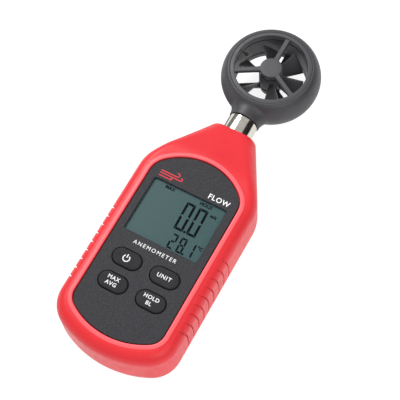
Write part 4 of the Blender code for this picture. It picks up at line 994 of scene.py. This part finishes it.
gusts = [gust(75.3, 7.0, 0.75), gust(74.3, 9.0, 0.55), gust(73.1, 5.2, 0.35)]
fit(piece("wind_sign", together(*gusts), RED_INK, 30), "case")

# %% [markdown]
# ## Display
# The film lies close under the clear cover.  Its figures are seven-segment digits: each segment is a
# bar with slanted ends, and the whole digit leans a little.  A font would be quicker, but its strokes
# would run together; here a digit is its corner, its size and the letters of the segments that are on.


# %% Digits
def segments(wide, high, w, gap, split):
    """The seven bars of a digit in its outer box: a is the top, then clockwise b to f, and g in the middle.

    Bars of width w meet in 45 degree mitres at the corners, gap apart; the upright ones stay split away
    from half the height.
    """
    half = high / 2
    lower = np.array([(0, gap), (w, w + gap), (w, half - w / 2 - split), (0, half - split)])
    foot = np.array([(gap, 0), (wide - gap, 0), (wide - w - gap, w), (w + gap, w)])
    middle = np.array([(w / 2 + gap, half), (w + gap, half - w / 2), (wide - w - gap, half - w / 2),
                       (wide - w / 2 - gap, half), (wide - w - gap, half + w / 2), (w + gap, half + w / 2)])
    over, across = np.array([1.0, -1.0]), np.array([-1.0, 1.0])
    up, right = np.array([0.0, high]), np.array([wide, 0.0])
    return {"a": foot * over + up, "b": lower * across * over + up + right, "c": lower * across + right,
            "d": foot, "e": lower, "f": lower * over + up, "g": middle}


def digit(left, base, wide, high, width, on, lean=-0.03, gap=0.1, split=0.1):
    """Bars of the segments that are on, leaning by lean times their height."""
    bars = []
    for name in on:
        outline = segments(wide, high, width, gap, split)[name]
        outline = outline + np.array([left, base]) + outline[:, 1:] * np.array([lean, 0.0])
        bars.append(skin(np.stack([at(outline, FILM_Z), at(outline, FILM_Z + 0.03)])))
    return bars


FILM_Z = 26.22
NUMBER = {"0": "abcdef", "2": "abged", "8": "abcdefg", "1": "bc"}
shown = []
for left in (0.65, 6.1):
    shown += digit(left, 56.2, 4.0, 12.2, 1.0, NUMBER["0"], split=0.12)
for left, value in ((2.05, "2"), (5.95, "8"), (9.95, "1")):
    shown += digit(left, 47.95, 2.65, 6.5, 0.72, NUMBER[value])
for x, y, side in ((5.38, 56.7, 0.9), (9.1, 48.35, 0.8)):
    dot = rounded(side, side, 0.1, x, y)
    shown.append(skin(np.stack([at(dot, FILM_Z), at(dot, FILM_Z + 0.03)])))
figures = piece("display_figures", together(*shown), SEGMENT, 30)
fit(figures, "case")
WORDS = (("max_word", "MAX", 1.3, (-8.4, 70.3)), ("hold_word", "HOLD", 1.3, (7.5, 70.2)),
         ("speed_unit", "m/s", 1.25, (12.3, 67.3)), ("heat_unit", "°C", 1.35, (14.1, 53.4)))
for name, words, size, middle in WORDS:
    lettering(name, words, size, middle, FILM_Z, SEGMENT, "case", bold=0.09, spacing=1.06, thick=0.03)

# %% [markdown]
# ### Film and cover
# Under the figures lies the grey film of the display, over them a clear acrylic cover that closes the
# window.  Both are stacks of rounded rectangles.  The cover's last ring is drawn in for a fine chamfer,
# which a plain slab would lack.


# %% Film and cover
def pane(width, height, radius, rows):
    """Stack of rounded rectangles at the window; a row is how far it is drawn in, and its height."""
    return skin(np.stack([at(rounded(width - 2 * inset, height - 2 * inset, radius - inset, 0, WINDOW[2]), z)
                          for inset, z in rows]))


film = piece("display_glass", pane(35.0, 27.5, 0.4, [(0.0, 24.3), (0.0, FILM_Z)]), FILM, 30)
fit(film, "case", "lcd_glass", slot="lcd_grey")
cover_shape = pane(31.7, 24.2, 0.85, [(0.0, 26.36), (0.0, 26.98), (0.1, 27.08)])
fit(piece("display_cover", cover_shape, COVER, 25), "case", "lcd_window", slot="clear_window")

# %% [markdown]
# ## Neck and head
# The tube is turned from bar, so it is a profile turned about the y axis.  The head's ring is turned
# about z.  Its collar is a second surface: from a round end it flares and lands on the ring, in the
# direction in which the ring's own skin leaves that line, so that no edge shows between the two.


# %% Neck tube
def eased(profile, radius, steps=4):
    """Round every corner of a closed profile with a short curve between points set back by radius."""
    p = np.array(profile, float)
    before, after = np.roll(p, 1, 0) - p, np.roll(p, -1, 0) - p
    length_before, length_after = (np.linalg.norm(v, axis=1)[:, None] for v in (before, after))
    reach = np.minimum(radius, 0.45 * np.minimum(length_before, length_after))
    start = p + before / length_before * reach
    end = p + after / length_after * reach
    t = np.linspace(0, 1, steps + 1)[None, :, None]
    curve = (1 - t) ** 2 * start[:, None] + 2 * t * (1 - t) * p[:, None] + t ** 2 * end[:, None]
    return curve.reshape(-1, 2)


tube_profile = [(2.6, LENGTH - 1.2), (TUBE, LENGTH - 1.2), (TUBE, NECK_END - 0.3), (4.4, NECK_END - 0.3),
                (4.4, NECK_END + 2.6), (2.6, NECK_END + 2.6)]
tube = piece("neck_tube_plated", along_y(turned(eased(tube_profile, 0.25), 128), AXIS_Z), CHROME, 30)
fit(tube, "case", "neck_tube", slot="plated_metal")

# %% [markdown]
# ### Ring and collar
# The head swivels on the tube's end by a collar that is moulded in one with the ring.  A Boolean union of
# a cone and a ring would leave a hard seam.  Here the collar's rows follow a Hermite curve, whose two end
# directions are free to choose: straight up from the neck, and along the ring's own skin where it lands.


# %% The ring and its collar
def ring_radius(h, power=1.73):
    """Outside radius at height h: face + (rim - face) (1 - (h / half)^power)^(1 / power)."""
    share = np.clip(np.abs(h) / RING_HALF, 0.0, 1.0)
    return RING_FACE + (RING_RADIUS - RING_FACE) * (1 - share ** power) ** (1 / power)


def ring_profile(seat=4.4):
    """Closed profile of the ring: bulging outside, a seat for each guard and the duct between them."""
    h = RING_HALF * np.sin(np.linspace(-np.pi / 2, np.pi / 2, 41))
    outside = np.stack([ring_radius(h), h], -1)
    inside = np.array([(GUARD_SEAT + 0.02, 7.86), (GUARD_SEAT, 7.7), (GUARD_SEAT, seat), (DUCT, seat),
                       (DUCT, seat - 0.3)])
    return np.vstack([outside, inside, [[DUCT, 0]], inside[::-1] * [1, -1]])


def collar_rows(columns=112):
    """Recess, rim, straight neck, flare onto the ring and a hidden way back inside the ring's wall."""
    c, s = np.cos(around(columns)), np.sin(around(columns))

    def flat(radius, y):
        """Level ring round the neck's axis."""
        return np.stack([radius * c, np.full(columns, y), radius * s], -1)

    def landing(k):
        """Oval on the ring's outside; k scales it."""
        x, h = 9.3 * k * c, 7.42 * k * s
        return np.stack([x, -np.sqrt(ring_radius(h) ** 2 - x ** 2), h], -1)

    rim = ((5.7, 1.0), (5.9, 0.9), (5.9, 0.2), (6.0, 0.05), (6.15, 0.0), (6.45, 0.02), (6.62, 0.12),
           (6.7, 0.35), (6.7, 0.7))
    rows = [flat(4.7, -19.5), flat(4.7, 1.0 - COLLAR)] + [flat(radius, up - COLLAR) for radius, up in rim]
    start, stop = rows[-1], landing(1.0)
    leave = np.array([0.0, 4.4, 0.0])
    arrive = (landing(1.001) - stop) / 0.001
    arrive = arrive / np.linalg.norm(arrive, axis=1)[:, None] * 4.6
    for t in np.linspace(0, 1, 19)[1:]:
        rows.append((2 * t ** 3 - 3 * t ** 2 + 1) * start + (t ** 3 - 2 * t ** 2 + t) * leave
                    + (3 * t ** 2 - 2 * t ** 3) * stop + (t ** 3 - t ** 2) * arrive)
    sunk = landing(1.0) * np.array([0.9, 1.0, 0.9]) + np.array([0, 1.2, 0])
    rows += [sunk, flat(4.7, -16.9)]
    return np.stack(rows)


ring_shape = together(turned(ring_profile(), 192), skin(collar_rows(), True))
ring = piece("head_ring_moulded", moved(ring_shape, 0, HEAD_Y, AXIS_Z), HEAD, 40)
fit(ring, "head", "head_ring", slot="head_plastic")

# %% [markdown]
# ### Guards
# A guard with a hub and three arms closes the duct on either side and holds a bearing.  The arms widen
# where they meet hub and rim, as moulded ones do.  The rear guard is the front one turned over, so one
# function makes both.


# %% Guards
def spoke(start, end, half, low, high):
    """Bar along +x with soft upper edges that widens a little where it meets hub and rim."""
    t = np.linspace(0, 1, 25)
    wide = half + 0.7 * np.exp(-t / 0.05) + 0.7 * np.exp(-(1 - t) / 0.05)
    left = np.array([(-1, 0), (-1, 0.72), (-0.93, 0.9), (-0.72, 1.0)])
    section = np.vstack([left, left[::-1] * [-1, 1]])
    x = start + (end - start) * t
    rows = np.stack([np.repeat(x[:, None], 8, 1), wide[:, None] * section[:, 0],
                     low + (high - low) * np.repeat(section[None, :, 1], 25, 0)], -1)
    return skin(rows)


def guard_shape(base=5.0, seated=GUARD_SEAT - 0.04):
    """Conical rim, three arms from hub to rim, the first towards the head's far end, and a domed hub."""
    rim = [(DUCT, base), (seated, base), (seated, 7.86), (DUCT, GUARD_TOP)]
    arm = spoke(3.8, DUCT + 0.6, 1.0, 5.9, 7.58)
    arms = [turned_about_z(arm, math.pi / 2 + index * 2 * math.pi / 3) for index in range(3)]
    hub = [(4.35, 4.8), (4.6, 5.05), (4.6, 7.3), (4.55, 7.5), (4.42, 7.6), (4.2, 7.64), (2.0, 7.66),
           (0.2, 7.66)]
    return together(turned(eased(rim, 0.35), 192), *arms, turned(hub, 96, False))


for side, shape in (("front", guard_shape()), ("rear", flipped(guard_shape()))):
    guard = piece(f"{side}_guard_moulded", moved(shape, 0, HEAD_Y, AXIS_Z), GUARD, 32)
    fit(guard, "head", f"{side}_guard", slot="head_plastic")

# %% [markdown]
# ### Vane
# Six pitched blades stand on a hub that turns with the wind.  Flat plates set at an angle would be
# simpler, but a real blade is part of a screw surface: its front and rear edges lie the same angle apart
# at every radius.  So a blade is worked out in angles, ring by ring from the hub to its tip.


# %% Vane
def blade(lead):
    """Flat pitched blade: chord from (lead, +3) to (lead - sweep, -3) at each radius, rounded all round."""
    radius = np.concatenate([np.linspace(4.2, 13.6, 12), [13.85, 13.97, 14.0]])
    slim = np.concatenate([np.linspace(1.0, 0.78, 12), [0.68, 0.45, 0.15]])
    a = around(28)
    chord = np.sign(np.cos(a)) * np.abs(np.cos(a)) ** 0.35
    thick = np.sign(np.sin(a)) * np.abs(np.sin(a)) ** 0.8
    chord_half = np.where(radius > 13.7, 2.96, 3.0)[:, None]
    sweep = math.radians(30.0)
    turn_along = lead - sweep * (0.5 - 0.5 * chord) * (chord_half / 3.0)
    tangent = radius[:, None] * sweep / 2
    size = np.hypot(tangent, 3.0)
    off = 0.42 * slim[:, None] * thick
    angle = turn_along + off * (3.0 / size) / radius[:, None]
    z = chord_half * chord - off * (tangent / size)
    return skin(np.stack([radius[:, None] * np.cos(angle), radius[:, None] * np.sin(angle), z], -1))


hub_profile = eased([(1.05, -3.4), (5.0, -3.4), (5.0, 3.4), (1.05, 3.4)], 0.35)
vane_shapes = [turned(hub_profile, 96)]
vane_shapes += [blade(math.radians(131.6 + 60 * n)) for n in range(6)]
vane = piece("vane_moulded", moved(together(*vane_shapes), 0, HEAD_Y, AXIS_Z), VANE, 40)
fit(vane, "vane", "impeller", slot="head_plastic")

# %% [markdown]
# ## Small pieces
# The screws get a pan head with a cross recess, sunk by a smooth step where either arm of the cross
# passes.  The cells get a printed sleeve and a button.  What else lies inside keeps its CAD shape and
# gets its own finish.


# %% Screws and cells
def screw_shape():
    """Head of a case screw seen from the back: rings of points whose height dips inside the cross."""
    r = np.concatenate([np.linspace(0.05, 1.25, 16), [1.4, 1.52, 1.6]])[:, None]
    a = around(64)
    x, y = r * np.cos(a), r * np.sin(a)
    across, along = np.abs(x), np.abs(y)
    arm = np.minimum(np.maximum(across / 0.95, along / 0.24), np.maximum(along / 0.95, across / 0.24))
    dip = 0.5 * np.clip((1.25 - arm) / 0.5, 0.0, 1.0)
    z = 0.5 + 0.28 * (r / 1.6) ** 4 + dip
    face = np.stack([x, y, z], -1)
    shank = np.stack([np.stack([q * np.cos(a), q * np.sin(a), np.full(64, h)], -1)
                      for q, h in ((1.6, 1.5), (0.9, 1.5), (0.9, 9.4), (0.3, 10.3))])
    return skin(np.concatenate([face, shank]))


for number, (x, y) in enumerate(SCREWS, start=1):
    made = piece(f"case_screw_cross_{number}", moved(screw_shape(), x, y), NICKEL, 40)
    fit(made, "case", f"case_screw_{number}", slot="steel")

cell_profile = [(4.7, 0.0), (5.05, 0.12), (5.2, 0.45), (5.2, 43.0), (5.05, 43.35), (4.7, 43.5), (2.1, 43.5),
                (1.9, 43.7), (1.9, 44.3), (1.7, 44.5)]
for number in range(3):
    low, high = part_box(f"battery_{number + 1}")
    shape = along_y(turned(cell_profile, 64, False), (low[2] + high[2]) / 2 / MM)
    shape = moved(shape, (low[0] + high[0]) / 2 / MM, (low[1] - START_Y) / MM)
    made = piece(f"cell_{number + 1}", shape, SLEEVE, 40)
    fit(made, "case", f"battery_{number + 1}", slot="cell_wrap")

# %% [markdown]
# ### What stays as it is
# The board and the small pieces inside keep their CAD solids: they are flat or round and lie out of
# sight, so a finer surface would add nothing.  Each gets a finish.


# %% Finishes of what stays as it is
KEPT = ((BOARD, ("circuit_board",)), (KEY, ("keypad_mat",)), (DIFFUSER, ("backlight_plate", "sensor_socket")),
        (RUBBER, ("lcd_connector", "swivel_seal", "sensor_cable")),
        (CHIP, ("processor_chip", "buzzer", "rotor_magnet", "hall_sensor", "temperature_sensor")),
        (NICKEL, ("tube_nut", "front_bearing", "rear_bearing", "impeller_shaft", "board_screw_1",
                  "board_screw_2", *(f"{name}_switch" for name in KEYS),
                  *(f"battery_{kind}_{number}" for kind in ("spring", "contact") for number in (1, 2, 3)))))
for used, names in KEPT:
    for name in names:
        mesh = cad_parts[name].data
        mesh.materials.clear()
        mesh.materials.append(used)
print("kept pieces finished:", sum(len(names) for _, names in KEPT))

# %% [markdown]
# ## Studio
# The meter lies on a plain pale table.  One broad soft lamp from the upper left, a weaker one from the
# right and a bright even surround give soft shadows.  A dark card and two grey ones, which only
# reflections see, give the plated tube its bands; in an even white room it would look like pale plastic.


# %% Table, lamps and cards
def table_finish():
    """Pale, almost even table that glows a little, so that it stays near white under soft lamps."""
    made, place = finish("pale_table", {"Specular IOR Level": 0.2, "Emission Color": (1.0, 1.0, 1.0, 1.0),
                                        "Emission Strength": 0.84})
    cloud = place.noise(0.02, 2.0)
    shade = cloud.tint((0.28, 0.28, 0.28), (0.31, 0.31, 0.31))
    return feed(made, base_color=shade, roughness=0.7 + 0.1 * cloud)


def card_finish(name, shade):
    """Dull grey card, up to a fifth lighter in soft clouds."""
    made, place = finish(name, {"Specular IOR Level": 0.1})
    return feed(made, base_color=place.noise(0.05).tint((shade,) * 3, (1.2 * shade,) * 3))


def sheet_of(name, low, high, used):
    """Flat sheet in metres between two opposite corners that share one coordinate, for the stage only."""
    first, second = [axis for axis in range(3) if low[axis] != high[axis]]
    corners = np.tile(np.array(low, float), (4, 1))
    corners[1:3, first] = high[first]
    corners[2:, second] = high[second]
    mesh = bpy.data.meshes.new(name)
    mesh.from_pydata(corners.tolist(), [], [(0, 1, 2, 3)])
    mesh.materials.append(used)
    made = placed(name, mesh)
    return made


def lamp(name, place, aim, size, power):
    """Round soft lamp that looks from its place at a point: tilt from straight down, then turn about z."""
    light = bpy.data.lights.new(name, "AREA")
    light.shape, light.size, light.energy = "DISK", size, power
    made = placed(name, light)
    made.location = place
    x, y, z = np.array(aim, float) - np.array(place, float)
    made.rotation_euler = (math.atan2(math.hypot(x, y), -z), 0, math.atan2(y, x) - math.pi / 2)
    return made


sheet_of("table", (-3, -3, -0.0003), (3, 3, -0.0003), table_finish())
lamp("key_lamp", (-0.55, 0.35, 0.75), (0, 0, 0), 0.5, 6.5)
lamp("fill_lamp", (0.6, -0.3, 0.7), (0, 0, 0), 0.7, 3.2)
for name, shade, low, high in (("dark_card", 0.01, (0.3, -0.05, 0.0), (0.3, 0.4, 0.34)),
                               ("grey_card", 0.2, (-0.3, -0.05, -0.02), (-0.3, 0.4, 0.2)),
                               ("low_card", 0.25, (-0.06, 0.022, 0.0), (-0.004, 0.05, 0.0))):
    card = sheet_of(name, low, high, card_finish(name, shade))
    for ray in ("visible_camera", "visible_diffuse", "visible_shadow", "visible_transmission"):
        setattr(card, ray, False)
world = bpy.data.worlds.new("surround")
world.use_nodes = True
background = world.node_tree.nodes["Background"]
background.inputs["Color"].default_value = (1.0, 1.0, 1.0, 1.0)
background.inputs["Strength"].default_value = 0.66
bpy.context.scene.world = world
bpy.context.scene.view_settings.view_transform = "Standard"
print("table, two lamps and three cards stand")

# %% [markdown]
# ## Camera
# A long lens, held high over the lower right of the meter and turned so that the meter runs across the
# view from the lower left to the upper right.

# %% Camera
view = bpy.data.cameras.new("camera")
view.lens, view.sensor_width = 105.71, 36.0
view.clip_start, view.clip_end = 0.01, 20.0
camera = placed("camera", view)
camera.location = (0.1114, -0.1637, 0.4412)
camera.rotation_euler = [math.radians(angle) for angle in (24.292, 2.617, 28.905)]
bpy.context.scene.camera = camera
print("camera with a", round(view.lens), "mm lens")
